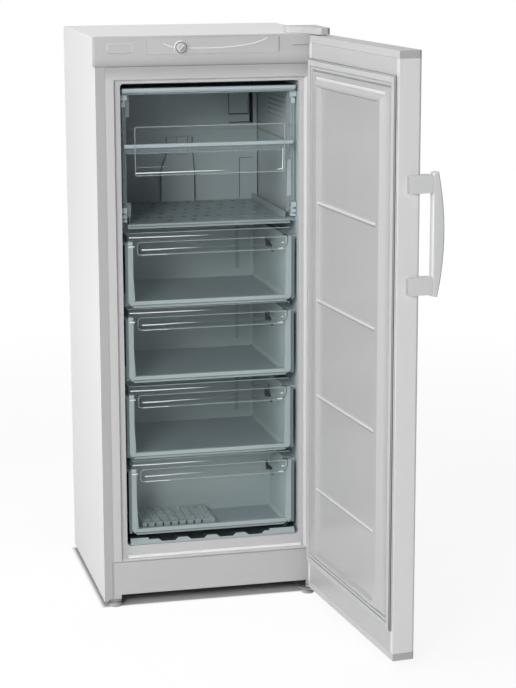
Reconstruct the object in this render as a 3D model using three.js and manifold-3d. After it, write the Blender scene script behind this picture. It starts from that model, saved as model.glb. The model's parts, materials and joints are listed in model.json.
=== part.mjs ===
// Upright freezer, door standing open. Millimetres, +Z up, the floor is z = 0.
// Pieces are written in cabinet coordinates: x = 0 is the middle of the cabinet, y = 0 is the front
// plane of its frame, and +y runs to the back. The origin of the exported group is the sole of the
// front left levelling foot. Door pieces are written as if the door were closed, then swung open.
import * as THREE from 'three';
import { ConvexGeometry } from 'three/addons/geometries/ConvexGeometry.js';
import { mergeVertices } from 'three/addons/utils/BufferGeometryUtils.js';
import Module from 'manifold-3d';

const wasm = await Module();
wasm.setup();

// ---- clearances -------------------------------------------------------------------------------
const gap = 0.3;              // between neighbouring pieces that touch
const runGap = 0.4;           // round a pin or shaft that turns

// ---- cabinet ----------------------------------------------------------------------------------
const cabinetWidth = 600;
const cabinetHeight = 1500;
const cabinetDepth = 525;
const caseBottom = 13;        // lower edge of the steel case above the floor
const sheet = 0.8;            // steel sheet of case, pan and door skin
const flangeWidth = 25;       // front return of the steel case
const halfWidth = cabinetWidth / 2;
const rearReturn = 14;        // rear return of the steel case

// ---- control fascia ---------------------------------------------------------------------------
const fasciaBottom = cabinetHeight - 75;
const fasciaDepth = 36;
const fasciaWall = 2.5;
const fasciaLean = 3;         // how far the lower edge leans back
const fasciaFold = 26;        // height of the leaning band
const insertLeft = -halfWidth + 134;
const insertRight = halfWidth - 123;
const insertBottom = fasciaBottom + 30;
const insertHeight = 42;
const insertThickness = 1.2;
const insertCrown = 1.6;
const insertRecess = 1;
const beadCourse = [[-0.755, 28], [-0.64, 19], [-0.38, 15], [-0.03, 14], [0.32, 17], [0.62, 24], [0.83, 39]];
const beadRadius = 1.1;
const padLeft = -halfWidth + 32; // blank raised pad at the fascia's left
const padWidth = 66;
const padHeight = 23;
const padRise = 0.7;
const padCorner = 6;
const slitFromInsert = 35;    // thin groove to the right of the insert
const slitLength = 49;
const slitHeight = 1.6;
const knobX = insertLeft + 88;
const knobZ = insertBottom + 16;
const knobRadius = 12.5;
const knobHeight = 6;
const knobRimHeight = 2.4;
const collarRadius = 18.5;
const collarHeight = 1.2;
const shaftRadius = 3;

// ---- front frame and cavity -------------------------------------------------------------------
const plinthTop = 119;
const linerWall = 2;
const stepHalfWidth = halfWidth - 47; // edge of the stepped frame that takes the door's plug
const stepTop = fasciaBottom - 32;
const stepBottom = plinthTop + 5;
const stepBevel = 5;
const stepDepth = 10.5;
const cavityHalfWidth = halfWidth - 65;
const cavityTop = stepTop - 11;
const cavityBottom = plinthTop + 41;
const cavityDepth = cabinetDepth - 43;
const cavityTaper = 10;       // the cavity narrows this much a side towards the back
const cavityCorner = 9;
const humpFront = cavityDepth - 274; // step over the compressor
const humpShoulder = cavityBottom + 136;
const humpBack = humpFront + 38;
const humpTop = humpShoulder + 46;
const stretch = (cavityTop - cavityBottom) / 1222; // heights inside follow the height of the food space
const louvreFront = 143;      // slots in the right wall, one above the other
const louvreBack = 322;
const louvreHeight = 5;
const louvrePitch = 13;
const louvreCount = 5;
const louvreDrop = 57;        // centre of the upper one below the cavity's top
const louvreDepth = 1.4;

// ---- base -------------------------------------------------------------------------------------
const panThickness = 1.2;
const railHeight = 40;        // flange of the runners above the floor
const railThickness = 2;
const railWidth = 30;
const plinthBottom = 29;
const plinthLegWidth = 20;
const plinthWall = 2.5;
const plinthDepth = 14;
const footLeftX = -halfWidth + 29;
const footRightX = halfWidth - 46;
const footLeftY = 5;
const footRightY = -15;
const footRadius = 17;
const footPadHeight = 9;
const studRadius = 5;
const rearFootRadius = 16;
const rearFootInset = 34;
const rearFootY = cabinetDepth - 39;

// ---- door -------------------------------------------------------------------------------------
const doorThickness = 57;
const doorGap = 9;            // between the frame and the door, filled by the gasket
const doorBottom = 22;
const doorTop = cabinetHeight - 2;
const doorCap = 18;
const doorCapWall = 2.5;
const doorEdgeRadius = 8;
const doorFlange = 16;        // inner return of the steel skin
const hingeX = halfWidth - 15;
const hingeY = -42;
const hingePinRadius = 5;
const bushWall = 1.8;
const openAngle = 95;         // how far the door stands open, in degrees
const gasketHalfWidth = halfWidth - 9;
const gasketWidth = 25;
const gasketTop = doorTop - 58;
const gasketBottom = doorBottom + 75;
const gasketSqueeze = 0.6;    // left between gasket and frame
const gasketBase = 3;
const doorLinerWall = 2;
const plugRise = [6, 10, 17];           // heights of margin, shoulder and crest above the door's face
const plugHalfWidth = [36, 56, 66, 78, 97, 102].map((inset) => halfWidth - inset);
const plugTop = [85, 107, 110, 116, 122, 126].map((inset) => doorTop - inset);
const plugBottom = [102, 106, 109, 113, 122, 127].map((inset) => doorBottom + inset);
const plugSlope = 3;          // how far the plug's side leans in over the margin's height
const panelRise = 8;
const ribFirst = 0.1406;      // lowest rib and pitch, as shares of the sunken panel's height
const ribPitch = 0.2069;
const ribCount = 4;
const ribHeight = 9;
const ribRise = 13;

// ---- handle -----------------------------------------------------------------------------------
const handleCentreZ = doorTop - 429.5;
const handleHeight = 297;
const handleStandoff = 28.5;  // finger room in front of the door
const handleEndReach = 41.5;  // outer edge of the bow before the door's face, at its ends
const handleMidReach = 57.5;
const handleWidth = 22;
const handleFootHeight = 43;
const handleFootInset = 6.5;
const handleFootBack = 31;    // y of the feet's rear edge
const handleFootThickness = 9.5;

// ---- shelves and compartments -----------------------------------------------------------------
const shelfHalfWidth = cavityHalfWidth - 4;
const shelfTaper = 7;         // a shelf narrows this much a side towards the back
const shelfShoulder = 62;     // y where a shelf widens behind the side rails
const shelfLedge = 9;         // reach of the liner's ledges under a shelf
const ledgeHeight = 7;
const shelfTopZ = cavityTop - 163 * stretch;
const shelfThickness = 4;
const trimFront = 27;
const trimBack = 36;
const trimTopZ = shelfTopZ + 6;
const trimHalfWidth = cavityHalfWidth - 12;
const trimHeight = 24;
const gridZ = shelfTopZ - 201 * stretch; // top of the perforated shelf
const gridThickness = 3;
const gridFront = 33;
const gridHalfWidth = cavityHalfWidth - 19; // of its front bar
const gridBarHeight = 11.5;
const gridRimX = gridHalfWidth - 10; // inner face of the raised rims
const gridRimHeight = 16;
const slotLength = 15;
const slotWidth = 7;
const slotRows = 6;
const slotPairs = 6;
const slotFirstY = 75;
const ductBottom = cavityTop - 29.5; // air duct under the ceiling
const ductHeight = 16;
const ductFront = 22;
const ductDepth = 150;
const ductHalfWidth = cavityHalfWidth - 7;
const ductPorts = 9;
const railInner = cavityHalfWidth - 18; // side rails that carry the flap
const railBarWidth = 10;
const railFace = 37;
const railDepth = 10;
const railBottom = gridZ + 6;
const railTop = ductBottom - gap;
const flapHalfWidth = railInner - 19;
const flapHeight = 126;
const flapBottom = shelfTopZ - 74;
const flapThickness = 3;
const flapFront = 16;
const flapLip = 9;            // the lower lip runs back this far
const flapCorner = 5;
const flapPinRadius = 2.5;
const flapPinDrop = 8;        // below the flap's top edge
const flapPinBack = 26;       // behind the flap's front
const ventFront = 13;         // sill insert under the lowest drawer
const ventBack = 60;
const ventHeight = 16;
const ventHalfWidth = cavityHalfWidth - 59;
const ventPitch = (2 * ventHalfWidth - 115) / 3;

// ---- drawers ----------------------------------------------------------------------------------
const drawerHalfWidth = cavityHalfWidth - 16.5;
const drawerFront = 27;
const drawerBorder = 13;
const drawerFrameDepth = 14;
const drawerTier = 4;         // lower step of the front frame
const drawerFrameRadius = 14;
const drawerWall = 2.2;
const drawerBodyHalfWidth = drawerHalfWidth - 12.5;
const drawerTaper = 5;
const drawerCorner = 12;
const drawerFloorFront = 6;   // underside of the tub above its front frame's lower edge
const drawerFloorRear = 8;
const drawerLip = 10;
const drawerRunner = 8;       // height of the moulded runner that carries the lip
const drawerRunnerGap = 5;    // between tub and runner
const stopHoleFront = 186;    // hole in each side that snaps over the liner's stop
const stopHoleBack = 216;
const stopHoleHeight = 22;
const stopHoleDrop = 34;      // its upper edge below the tub's rim
const paneThickness = 3;
const headHeight = 22;        // clear rolled head above the tub's rim
const headRoll = 9.5;
const headBack = 13;
const headWall = 2.6;
const gripHalfWidth = drawerHalfWidth - 24.5;
const gripHeight = 35;
const gripDepth = 14;
const gripRise = 11;          // the grip's floor climbs this much to its back
const gripCorner = 8;
const wallFront = cavityDepth - 52; // rear wall of the food space
const shelfBack = wallFront - 6;
const drawers = [
  { bottom: cavityBottom + 639 * stretch, height: 196 * stretch, back: wallFront - 55, shift: 0 },
  { bottom: cavityBottom + 439 * stretch, height: 197 * stretch, back: wallFront - 55, shift: -1.5 },
  { bottom: cavityBottom + 232 * stretch, height: 196 * stretch, back: wallFront - 55, shift: -3 },
  { bottom: cavityBottom + 23 * stretch, height: 203 * stretch, back: humpFront - 20, shift: 0 },
];
const trayLeft = -drawerBodyHalfWidth + 20;
const trayRight = trayLeft + 196;
const trayFront = 45;
const trayBack = humpFront - 26;
const trayHeight = 16;
const trayColumns = 8;
const trayRows = 4;

// ---- air circuit and refrigeration ------------------------------------------------------------
const wallThickness = 2.5;
const wallBottom = humpTop + 10;
const formRise = 6;           // raised forms on the rear wall
const fanZ = cavityTop - 64;
const fanRadius = 40;
const coilBottom = gridZ - 8;
const coilTop = fanZ - fanRadius - 16;
const coilHalfWidth = cavityHalfWidth - 49;
const slotLevels = 5;         // rows of air slots behind the drawers
const slotLevelPitch = 100;
const coilFins = 8;
const coilDepth = 30;
const coilBack = cavityDepth - 8;
const coilTube = 4;
const fanY = cavityDepth - 30; // middle of the blades
const fanDepth = 16;
const spindleRadius = 2;
const fanHub = 14;
const fanBlades = 5;
const motorRadius = 18;
const compressorX = -90;
const compressorY = cabinetDepth - 113;
const compressorRadius = 78;
const compressorStretch = 1.35;
const compressorHeight = 165;
const grommetHeight = 14;
const trayWall = 2;
const condenserHalfWidth = halfWidth - 55;
const condenserBottom = humpTop + 78;
const condenserTop = cabinetHeight - 170;
const condenserRuns = 10;
const condenserWires = 11;
const condenserTube = 2.5;
const condenserStandoff = 18;
const wireSize = 1.8;

// ---- finishes ---------------------------------------------------------------------------------
const finishes = {
  enamel: { color: '#e6e7e7', roughness: 0.35, metalness: 0 },
  whitePlastic: { color: '#e2e3e3', roughness: 0.45, metalness: 0 },
  linerPlastic: { color: '#dcdedf', roughness: 0.4, metalness: 0 },
  frostPlastic: { color: '#b4c2c6', roughness: 0.3, metalness: 0 },
  clearPlastic: { color: '#a9bcc2', roughness: 0.1, metalness: 0 },
  greyPlastic: { color: '#9aa0a3', roughness: 0.5, metalness: 0 },
  blackPlastic: { color: '#1d1f20', roughness: 0.5, metalness: 0 },
  rubber: { color: '#cfd1d1', roughness: 0.7, metalness: 0 },
  blackRubber: { color: '#202020', roughness: 0.8, metalness: 0 },
  zincSteel: { color: '#a8aaab', roughness: 0.45, metalness: 1 },
  blackPaint: { color: '#17181a', roughness: 0.4, metalness: 0 },
  copper: { color: '#b87452', roughness: 0.35, metalness: 1 },
  aluminium: { color: '#c4c7c9', roughness: 0.35, metalness: 1 },
  foam: { color: '#e8dfb0', roughness: 0.9, metalness: 0 },
};

// ---- shape helpers ----------------------------------------------------------------------------
function solidOf(geometry) {
  const bare = geometry.clone();
  bare.deleteAttribute('normal');
  bare.deleteAttribute('uv');
  const merged = mergeVertices(bare, 1e-4);
  return new wasm.Manifold(new wasm.Mesh({
    numProp: 3,
    vertProperties: new Float32Array(merged.attributes.position.array),
    triVerts: new Uint32Array(merged.index.array),
  }));
}

function geometryOf(solid) {
  const mesh = solid.getMesh();
  const geometry = new THREE.BufferGeometry();
  geometry.setAttribute('position', new THREE.BufferAttribute(mesh.vertProperties, 3));
  geometry.setIndex(new THREE.BufferAttribute(mesh.triVerts, 1));
  return geometry;
}

function join(...pieces) {
  return geometryOf(pieces.map(solidOf).reduce((sum, piece) => sum.add(piece)));
}

function cut(body, ...tools) {
  return geometryOf(tools.map(solidOf).reduce((left, tool) => left.subtract(tool), solidOf(body)));
}

function common(body, other) {
  return geometryOf(solidOf(body).intersect(solidOf(other)));
}

function block(x0, x1, y0, y1, z0, z1) {
  const geometry = new THREE.BoxGeometry(x1 - x0, y1 - y0, z1 - z0);
  return geometry.translate((x0 + x1) / 2, (y0 + y1) / 2, (z0 + z1) / 2);
}

// The same with its two x values in any order, for parts that are mirrored by a sign.
function between(xa, xb, y0, y1, z0, z1) {
  return block(Math.min(xa, xb), Math.max(xa, xb), y0, y1, z0, z1);
}

// A shape drawn in (x, y) and raised from z0 to z1.
function prismZ(shape, z0, z1, curveSegments = 4) {
  const options = { depth: z1 - z0, bevelEnabled: false, curveSegments };
  return new THREE.ExtrudeGeometry(shape, options).translate(0, 0, z0);
}

// A shape drawn in (x, z) and run from y0 to y1.
function prismY(shape, y0, y1, curveSegments = 4) {
  return prismZ(shape, 0, y1 - y0, curveSegments).rotateX(Math.PI / 2).translate(0, y1, 0);
}

// A shape drawn in (y, z) and run from x0 to x1.
const axesToX = new THREE.Matrix4().makeBasis(
  new THREE.Vector3(0, 1, 0), new THREE.Vector3(0, 0, 1), new THREE.Vector3(1, 0, 0));
function prismX(shape, x0, x1, curveSegments = 4) {
  return prismZ(shape, 0, x1 - x0, curveSegments).applyMatrix4(axesToX).translate(x0, 0, 0);
}

function outline(points) {
  return new THREE.Shape(points.map(([u, v]) => new THREE.Vector2(u, v)));
}

function roundedRect(u0, u1, v0, v1, radius) {
  const shape = new THREE.Shape();
  shape.moveTo(u0 + radius, v0);
  shape.absarc(u1 - radius, v0 + radius, radius, -Math.PI / 2, 0);
  shape.absarc(u1 - radius, v1 - radius, radius, 0, Math.PI / 2);
  shape.absarc(u0 + radius, v1 - radius, radius, Math.PI / 2, Math.PI);
  shape.absarc(u0 + radius, v0 + radius, radius, Math.PI, Math.PI * 1.5);
  return shape;
}

// Cylinders and turned profiles; a profile is [radius, height] pairs from the axis to the axis.
function rodZ(x, y, z0, z1, radius, sides = 16) {
  const geometry = new THREE.CylinderGeometry(radius, radius, z1 - z0, sides);
  return geometry.rotateX(Math.PI / 2).translate(x, y, (z0 + z1) / 2);
}

function rodX(x0, x1, y, z, radius, sides = 14) {
  const geometry = new THREE.CylinderGeometry(radius, radius, x1 - x0, sides);
  return geometry.rotateZ(Math.PI / 2).translate((x0 + x1) / 2, y, z);
}

function rodY(x, y0, y1, z, radius, sides = 24) {
  const geometry = new THREE.CylinderGeometry(radius, radius, y1 - y0, sides);
  return geometry.translate(x, (y0 + y1) / 2, z);
}

function turned(profile, sides = 24) {
  const points = profile.map(([radius, height]) => new THREE.Vector2(radius, height));
  return new THREE.LatheGeometry(points, sides).rotateX(Math.PI / 2);
}

// The convex body between a rounded rectangle at y0 and another at y1.
function taperedBox(front, y0, back, y1, radius, steps = 3) {
  const points = [];
  for (const [half, bottom, top, y] of [[...front, y0], [...back, y1]]) {
    for (const [side, edge, start] of [[1, top, 0], [-1, top, 1], [-1, bottom, 2], [1, bottom, 3]]) {
      const lift = edge === top ? -radius : radius;
      for (let step = 0; step <= steps; step += 1) {
        const angle = (start + step / steps) * Math.PI / 2;
        const x = side * (half - radius) + radius * Math.cos(angle);
        points.push(new THREE.Vector3(x, y, edge + lift + radius * Math.sin(angle)));
      }
    }
  }
  return new ConvexGeometry(points);
}

// The convex body between a sharp rectangle at y0 and another at y1.
function frustum(front, y0, back, y1) {
  const points = [];
  for (const [half, bottom, top, y] of [[...front, y0], [...back, y1]]) {
    points.push(new THREE.Vector3(-half, y, bottom), new THREE.Vector3(half, y, bottom));
    points.push(new THREE.Vector3(-half, y, top), new THREE.Vector3(half, y, top));
  }
  return new ConvexGeometry(points);
}

// A round bar along a route of points with eased corners.
class Route extends THREE.CurvePath {
  constructor(points, bend) {
    super();
    const nodes = points.map(([x, y, z]) => new THREE.Vector3(x, y, z));
    let start = nodes[0];
    for (let i = 1; i < nodes.length - 1; i += 1) {
      const before = nodes[i].clone().sub(nodes[i - 1]).setLength(bend);
      const after = nodes[i + 1].clone().sub(nodes[i]).setLength(bend);
      const entry = nodes[i].clone().sub(before);
      const exit = nodes[i].clone().add(after);
      this.add(new THREE.LineCurve3(start, entry));
      this.add(new THREE.QuadraticBezierCurve3(entry, nodes[i], exit));
      start = exit;
    }
    this.add(new THREE.LineCurve3(start, nodes[nodes.length - 1]));
  }
}

// Sweeps a regular section along the route, with rings only where the route bends.
function tube(points, bend, radius, sides = 6, bendSteps = 3) {
  const route = new Route(points, bend);
  const rings = [];
  for (const curve of route.curves) {
    const steps = curve.isLineCurve3 ? 1 : bendSteps;
    for (let i = rings.length ? 1 : 0; i <= steps; i += 1) {
      rings.push({ at: curve.getPoint(i / steps), along: curve.getTangent(i / steps) });
    }
  }
  const side = new THREE.Vector3(0.31, 0.87, 0.38).cross(rings[0].along).normalize();
  const positions = [];
  const index = [];
  rings.forEach(({ at, along }, ring) => {
    side.addScaledVector(along, -side.dot(along)).normalize();
    const up = along.clone().cross(side);
    for (let i = 0; i < sides; i += 1) {
      const angle = (i / sides) * Math.PI * 2;
      const out = side.clone().multiplyScalar(Math.cos(angle)).addScaledVector(up, Math.sin(angle));
      const point = at.clone().addScaledVector(out, radius);
      positions.push(point.x, point.y, point.z);
      if (ring > 0) {
        const a = (ring - 1) * sides + i;
        const b = (ring - 1) * sides + (i + 1) % sides;
        index.push(a, b, b + sides, a, b + sides, a + sides);
      }
    }
  });
  const last = (rings.length - 1) * sides;
  for (let i = 1; i < sides - 1; i += 1) {
    index.push(0, i + 1, i);
    index.push(last, last + i, last + i + 1);
  }
  const geometry = new THREE.BufferGeometry();
  geometry.setAttribute('position', new THREE.Float32BufferAttribute(positions, 3));
  geometry.setIndex(index);
  return geometry;
}

// ---- scene graph ------------------------------------------------------------------------------
const freezer = new THREE.Group();
const cabinet = new THREE.Group();
cabinet.position.set(-footLeftX, -footLeftY, 0);
freezer.add(cabinet);

const door = new THREE.Group();
door.position.set(hingeX, hingeY, 0);
door.rotation.z = THREE.MathUtils.degToRad(openAngle);
cabinet.add(door);
const doorContent = new THREE.Group();
doorContent.position.set(-hingeX, -hingeY, 0);
door.add(doorContent);

function add(parent, name, finish, geometry) {
  geometry.computeVertexNormals();
  const mesh = new THREE.Mesh(geometry, new THREE.MeshStandardMaterial(finishes[finish]));
  mesh.name = name;
  parent.add(mesh);
}

const innerHalfWidth = halfWidth - sheet - gap;

// ---- steel case and back ----------------------------------------------------------------------
function outerCase() {
  const inner = halfWidth - sheet;
  const wrap = outline([
    [-halfWidth, caseBottom], [-inner, caseBottom], [-inner, cabinetHeight - sheet],
    [inner, cabinetHeight - sheet], [inner, caseBottom], [halfWidth, caseBottom],
    [halfWidth, cabinetHeight], [-halfWidth, cabinetHeight],
  ]);
  const parts = [prismY(wrap, 0, cabinetDepth)];
  for (const side of [-1, 1]) {
    const edge = side * halfWidth;
    const frontIn = edge - side * flangeWidth;
    const rearIn = edge - side * rearReturn;
    const [f0, f1] = [Math.min(edge, frontIn), Math.max(edge, frontIn)];
    const [r0, r1] = [Math.min(edge, rearIn), Math.max(edge, rearIn)];
    parts.push(block(f0, f1, 0, sheet, caseBottom, fasciaBottom));
    parts.push(block(r0, r1, cabinetDepth - sheet, cabinetDepth, caseBottom, cabinetHeight));
  }
  parts.push(block(-halfWidth, halfWidth, cabinetDepth - sheet, cabinetDepth,
    cabinetHeight - rearReturn, cabinetHeight));
  const fasciaSpace = block(-halfWidth - 1, halfWidth + 1, -1, fasciaDepth + gap,
    fasciaBottom, cabinetHeight + 1);
  const footNotches = [-1, 1].map((side) => between(side * (flangeInner - 5),
    side * (flangeInner + tabHalfWidth), -1, 2, caseBottom - 1, legBottom));
  add(cabinet, 'outer_case', 'enamel', cut(join(...parts), fasciaSpace, ...footNotches));
}

const panelThickness = 1;
const panelBack = cabinetDepth - sheet - gap;
const nicheTop = humpTop - 14;
const nicheSlope = 46;
const nicheRun = 40;

const beadWidth = 16;
const beadRise = 3;
const beadCount = 5;
const beadPitch = (2 * innerHalfWidth - 2 * rearReturn) / (beadCount + 1);

// Steel back panel with pressed upright beads, above the compressor space.
function rearPanel() {
  const half = innerHalfWidth;
  const top = cabinetHeight - sheet - gap;
  const parts = [block(-half, half, panelBack - panelThickness, panelBack, nicheTop, top)];
  for (let i = 0; i < beadCount; i += 1) {
    const x = (i - (beadCount - 1) / 2) * beadPitch;
    const bead = outline([
      [x - beadWidth / 2, panelBack - 0.1], [x + beadWidth / 2, panelBack - 0.1],
      [x + beadWidth / 4, panelBack + beadRise], [x - beadWidth / 4, panelBack + beadRise],
    ]);
    parts.push(prismZ(bead, nicheTop + 30, top - 40));
  }
  add(cabinet, 'rear_panel', 'zincSteel', join(...parts));
}

// ---- liner, foam ------------------------------------------------------------------------------
// The food space grown outwards by "grow", without the step over the compressor.
function cavityBody(grow) {
  const front = [cavityHalfWidth + grow, cavityBottom - grow, cavityTop + grow];
  const back = [cavityHalfWidth - cavityTaper + grow, cavityBottom - grow, cavityTop + grow];
  const space = taperedBox(front, 0, back, cavityDepth + grow, cavityCorner);
  const hump = prismX(outline([
    [humpFront + grow, cavityBottom - 40], [humpFront + grow, humpShoulder - grow],
    [humpBack + grow, humpTop - grow], [cavityDepth + 40, humpTop - grow],
    [cavityDepth + 40, cavityBottom - 40],
  ]), -halfWidth, halfWidth);
  return cut(space, hump);
}

// The stepped well round the mouth of the cavity that takes the door's plug.
function wellBody(grow) {
  const front = [stepHalfWidth + grow, stepBottom - grow, stepTop + grow];
  const back = [stepHalfWidth - stepBevel + grow, stepBottom + stepBevel - grow, stepTop - stepBevel + grow];
  return frustum(front, grow ? linerWall : -0.01, back, stepDepth + grow);
}

const flangeInner = halfWidth - flangeWidth - gap;

const runnerInner = drawerBodyHalfWidth + drawerRunnerGap;
const runnerSlope = 4;        // the runner's underside drops this much towards the wall
const runnerStart = 22;       // behind the drawer's front
function runnerTop(drawer) {
  return drawer.bottom + drawer.height - headHeight - drawerWall - gap;
}

function innerLiner() {
  const shell = join(
    block(-flangeInner, flangeInner, 0, linerWall, plinthTop + gap, fasciaBottom - gap),
    wellBody(linerWall),
    cavityBody(linerWall),
  );
  const liner = cut(shell, wellBody(0), cavityBody(0));
  const runners = [];
  const wall = cavityHalfWidth + 1;
  for (const drawer of drawers) {
    const top = runnerTop(drawer);
    const end = drawer.back < humpFront ? humpFront + 1 : drawer.back + shelfLedge;
    const left = outline([[-wall, top], [-wall, top - drawerRunner - runnerSlope],
      [-runnerInner, top - drawerRunner / 2], [-runnerInner, top]]);
    const right = outline([[runnerInner, top], [runnerInner, top - drawerRunner / 2],
      [wall, top - drawerRunner - runnerSlope], [wall, top]]);
    for (const rail of [left, right]) {
      runners.push(common(prismY(rail, drawerFront + runnerStart, end), cavityBody(1)));
    }
  }
  for (const z of [shelfTopZ - shelfThickness - gap, gridZ - gridThickness - gap]) {
    for (const side of [-1, 1]) {
      const ledge = between(side * (shelfHalfWidth - shelfLedge), side * wall, shelfShoulder,
        wallFront - formRise - gap, z - ledgeHeight, z);
      runners.push(common(ledge, cavityBody(1)));
    }
  }
  const louvres = [];
  for (let i = 0; i < louvreCount; i += 1) {
    const z = cavityTop - louvreDrop - i * louvrePitch;
    louvres.push(common(block(cavityHalfWidth - cavityTaper - 5, halfWidth, louvreFront, louvreBack,
      z - louvreHeight / 2, z + louvreHeight / 2), cavityBody(louvreDepth)));
  }
  add(cabinet, 'inner_liner', 'linerPlastic', cut(join(liner, ...runners), ...louvres));
}

function insulationFoam() {
  const front = linerWall + gap;
  const back = panelBack - panelThickness - gap;
  const bottom = plinthTop + panThickness + gap;
  const top = cabinetHeight - sheet - gap;
  const side = outline([
    [front, bottom], [nicheFront, bottom], [nicheFront, nicheTop - nicheSlope], [nicheFront + nicheRun, nicheTop],
    [back, nicheTop], [back, top], [fasciaDepth + gap * 2, top],
    [fasciaDepth + gap * 2, fasciaBottom - gap], [front, fasciaBottom - gap],
  ]);
  const mass = prismX(side, -innerHalfWidth, innerHalfWidth);
  add(cabinet, 'insulation_foam', 'foam',
    cut(mass, cavityBody(linerWall + gap), wellBody(linerWall + gap)));
}

// ---- control fascia ---------------------------------------------------------------------------
function fasciaProfile(inset, back) {
  const low = fasciaBottom + gap + inset;
  const fold = fasciaBottom + fasciaFold;
  return outline([
    [fasciaLean + inset, low], [back, low], [back, cabinetHeight - inset],
    [inset, cabinetHeight - inset], [inset, fold],
  ]);
}

function controlFascia() {
  const body = prismX(fasciaProfile(0, fasciaDepth), -halfWidth, halfWidth);
  const hollow = prismX(fasciaProfile(fasciaWall, fasciaDepth + 1),
    -halfWidth + fasciaWall, halfWidth - fasciaWall);
  const seat = block(insertLeft - gap, insertRight + gap, -1, insertRecess,
    insertBottom - gap, insertBottom + insertHeight + gap);
  const bore = rodY(knobX, -1, fasciaWall + 1, knobZ, shaftRadius + 2 * runGap + fasciaWall / 2, 16);
  const slitLeft = insertRight + slitFromInsert;
  const slit = block(slitLeft, slitLeft + slitLength, -1, slitHeight / 2,
    knobZ - slitHeight / 2, knobZ + slitHeight / 2);
  const padBottom = insertBottom + 6;
  const pad = prismY(roundedRect(padLeft, padLeft + padWidth, padBottom, padBottom + padHeight, padCorner),
    -padRise, padRise, 3);
  add(cabinet, 'control_fascia', 'whitePlastic', join(cut(body, hollow, seat, bore, slit), pad));
}

function fasciaInsert() {
  const middle = (insertLeft + insertRight) / 2;
  const half = (insertRight - insertLeft) / 2;
  const plan = new THREE.Shape();
  const steps = 8;
  plan.moveTo(insertRight, insertRecess - gap / 3);
  plan.lineTo(insertLeft, insertRecess - gap / 3);
  for (let i = 0; i <= steps; i += 1) {
    const u = -1 + (2 * i) / steps;
    plan.lineTo(middle + u * half, insertRecess - insertThickness - insertCrown * (1 - u * u));
  }
  const plate = prismZ(plan, insertBottom, insertBottom + insertHeight);
  const crownAt = (x) => insertRecess - insertThickness - insertCrown * (1 - ((x - middle) / half) ** 2);
  const collar = rodY(knobX, crownAt(knobX) - collarHeight, -gap, knobZ, collarRadius, 24);
  const pocket = rodY(knobX, -20, crownAt(knobX) + 0.4, knobZ, knobRadius + runGap + 1, 24);
  const bore = rodY(knobX, -20, 20, knobZ, shaftRadius + runGap, 16);
  const beadRoute = beadCourse.map(([share, height]) => {
    const x = middle + share * half;
    return [x, crownAt(x), insertBottom + height];
  });
  const bead = tube(beadRoute, 9, beadRadius, 5, 2);
  const panel = cut(join(plate, collar, bead), pocket, bore);
  add(cabinet, 'fascia_insert', 'whitePlastic', panel);
}

function thermostatBody() {
  const front = fasciaWall + gap;
  const body = block(knobX - 21, knobX + 21, front + 6, fasciaDepth - 3, knobZ - 20, knobZ + 20);
  const neck = rodY(knobX, front, front + 7, knobZ, 7, 16);
  const bore = rodY(knobX, front - 1, front + 12, knobZ, shaftRadius + runGap, 16);
  const tabs = block(knobX - 16, knobX + 16, fasciaDepth - 4, fasciaDepth - gap, knobZ - 14, knobZ + 14);
  add(cabinet, 'thermostat', 'greyPlastic', cut(join(body, neck, tabs), bore));
}

function thermostatKnob() {
  const middle = (insertLeft + insertRight) / 2;
  const half = (insertRight - insertLeft) / 2;
  const seat = insertRecess - insertThickness - insertCrown * (1 - ((knobX - middle) / half) ** 2) + 0.4 - gap;
  const skirt = turned([[0, 0], [knobRadius, 0], [knobRadius, knobRimHeight + 2],
    [knobRadius - 1.2, knobHeight - 0.6], [knobRadius - 3, knobHeight], [0, knobHeight]], 24);
  skirt.rotateX(Math.PI / 2).translate(knobX, seat, knobZ);
  const shaft = rodY(knobX, seat - 1, fasciaWall + gap + 11, knobZ, shaftRadius, 16);
  const slot = block(-knobRadius, knobRadius, -1.4, 1.4, -0.9, 0.9).rotateY(-Math.PI / 4);
  slot.translate(knobX, seat - knobHeight, knobZ);
  add(cabinet, 'thermostat_knob', 'whitePlastic', cut(join(skirt, shaft), slot));
}

// ---- base -------------------------------------------------------------------------------------
const bracketThickness = 3;
const lowerPlateZ = 14;       // underside of the plates that take the front feet
const legBottom = lowerPlateZ + bracketThickness + gap;
const frontRailBack = 46;
const nicheFront = humpFront + 60;
const plateFront = nicheFront + 50;
const tabHalfWidth = 14;

function baseFrame() {
  const half = innerHalfWidth;
  const face = nicheFront + gap;
  const back = panelBack - panelThickness - gap;
  const t = panThickness;
  const low = plinthTop + gap;
  const high = nicheTop - gap;
  const front = plinthDepth + gap;
  const pan = prismX(outline([
    [front, low - t], [face + t, low - t], [face + t, high - nicheSlope - t * 0.4],
    [face + nicheRun + t * 0.4, high - t], [back, high - t], [back, high],
    [face + nicheRun, high], [face, high - nicheSlope], [face, low], [front, low],
  ]), -half, half);
  const parts = [pan];
  for (const side of [-1, 1]) {
    const web = side * half;
    parts.push(between(web, web - side * railThickness, front, back, railHeight, low - t / 2));
    parts.push(between(web, web - side * railWidth, front, back, railHeight, railHeight + railThickness));
  }
  parts.push(block(-half, half, front, frontRailBack, railHeight, railHeight + railThickness));
  parts.push(block(-half, half, plateFront, back, railHeight, railHeight + railThickness));
  const tab = [footLeftX - tabHalfWidth, footLeftX + tabHalfWidth];
  parts.push(block(...tab, footLeftY - 10, front + railThickness, lowerPlateZ, lowerPlateZ + bracketThickness));
  parts.push(block(...tab, front, front + railThickness, lowerPlateZ, railHeight + 1));
  const hole = rodZ(footLeftX, footLeftY, 0, railHeight, studRadius + runGap, 16);
  add(cabinet, 'base_frame', 'zincSteel', cut(join(...parts), hole));
}

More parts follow.
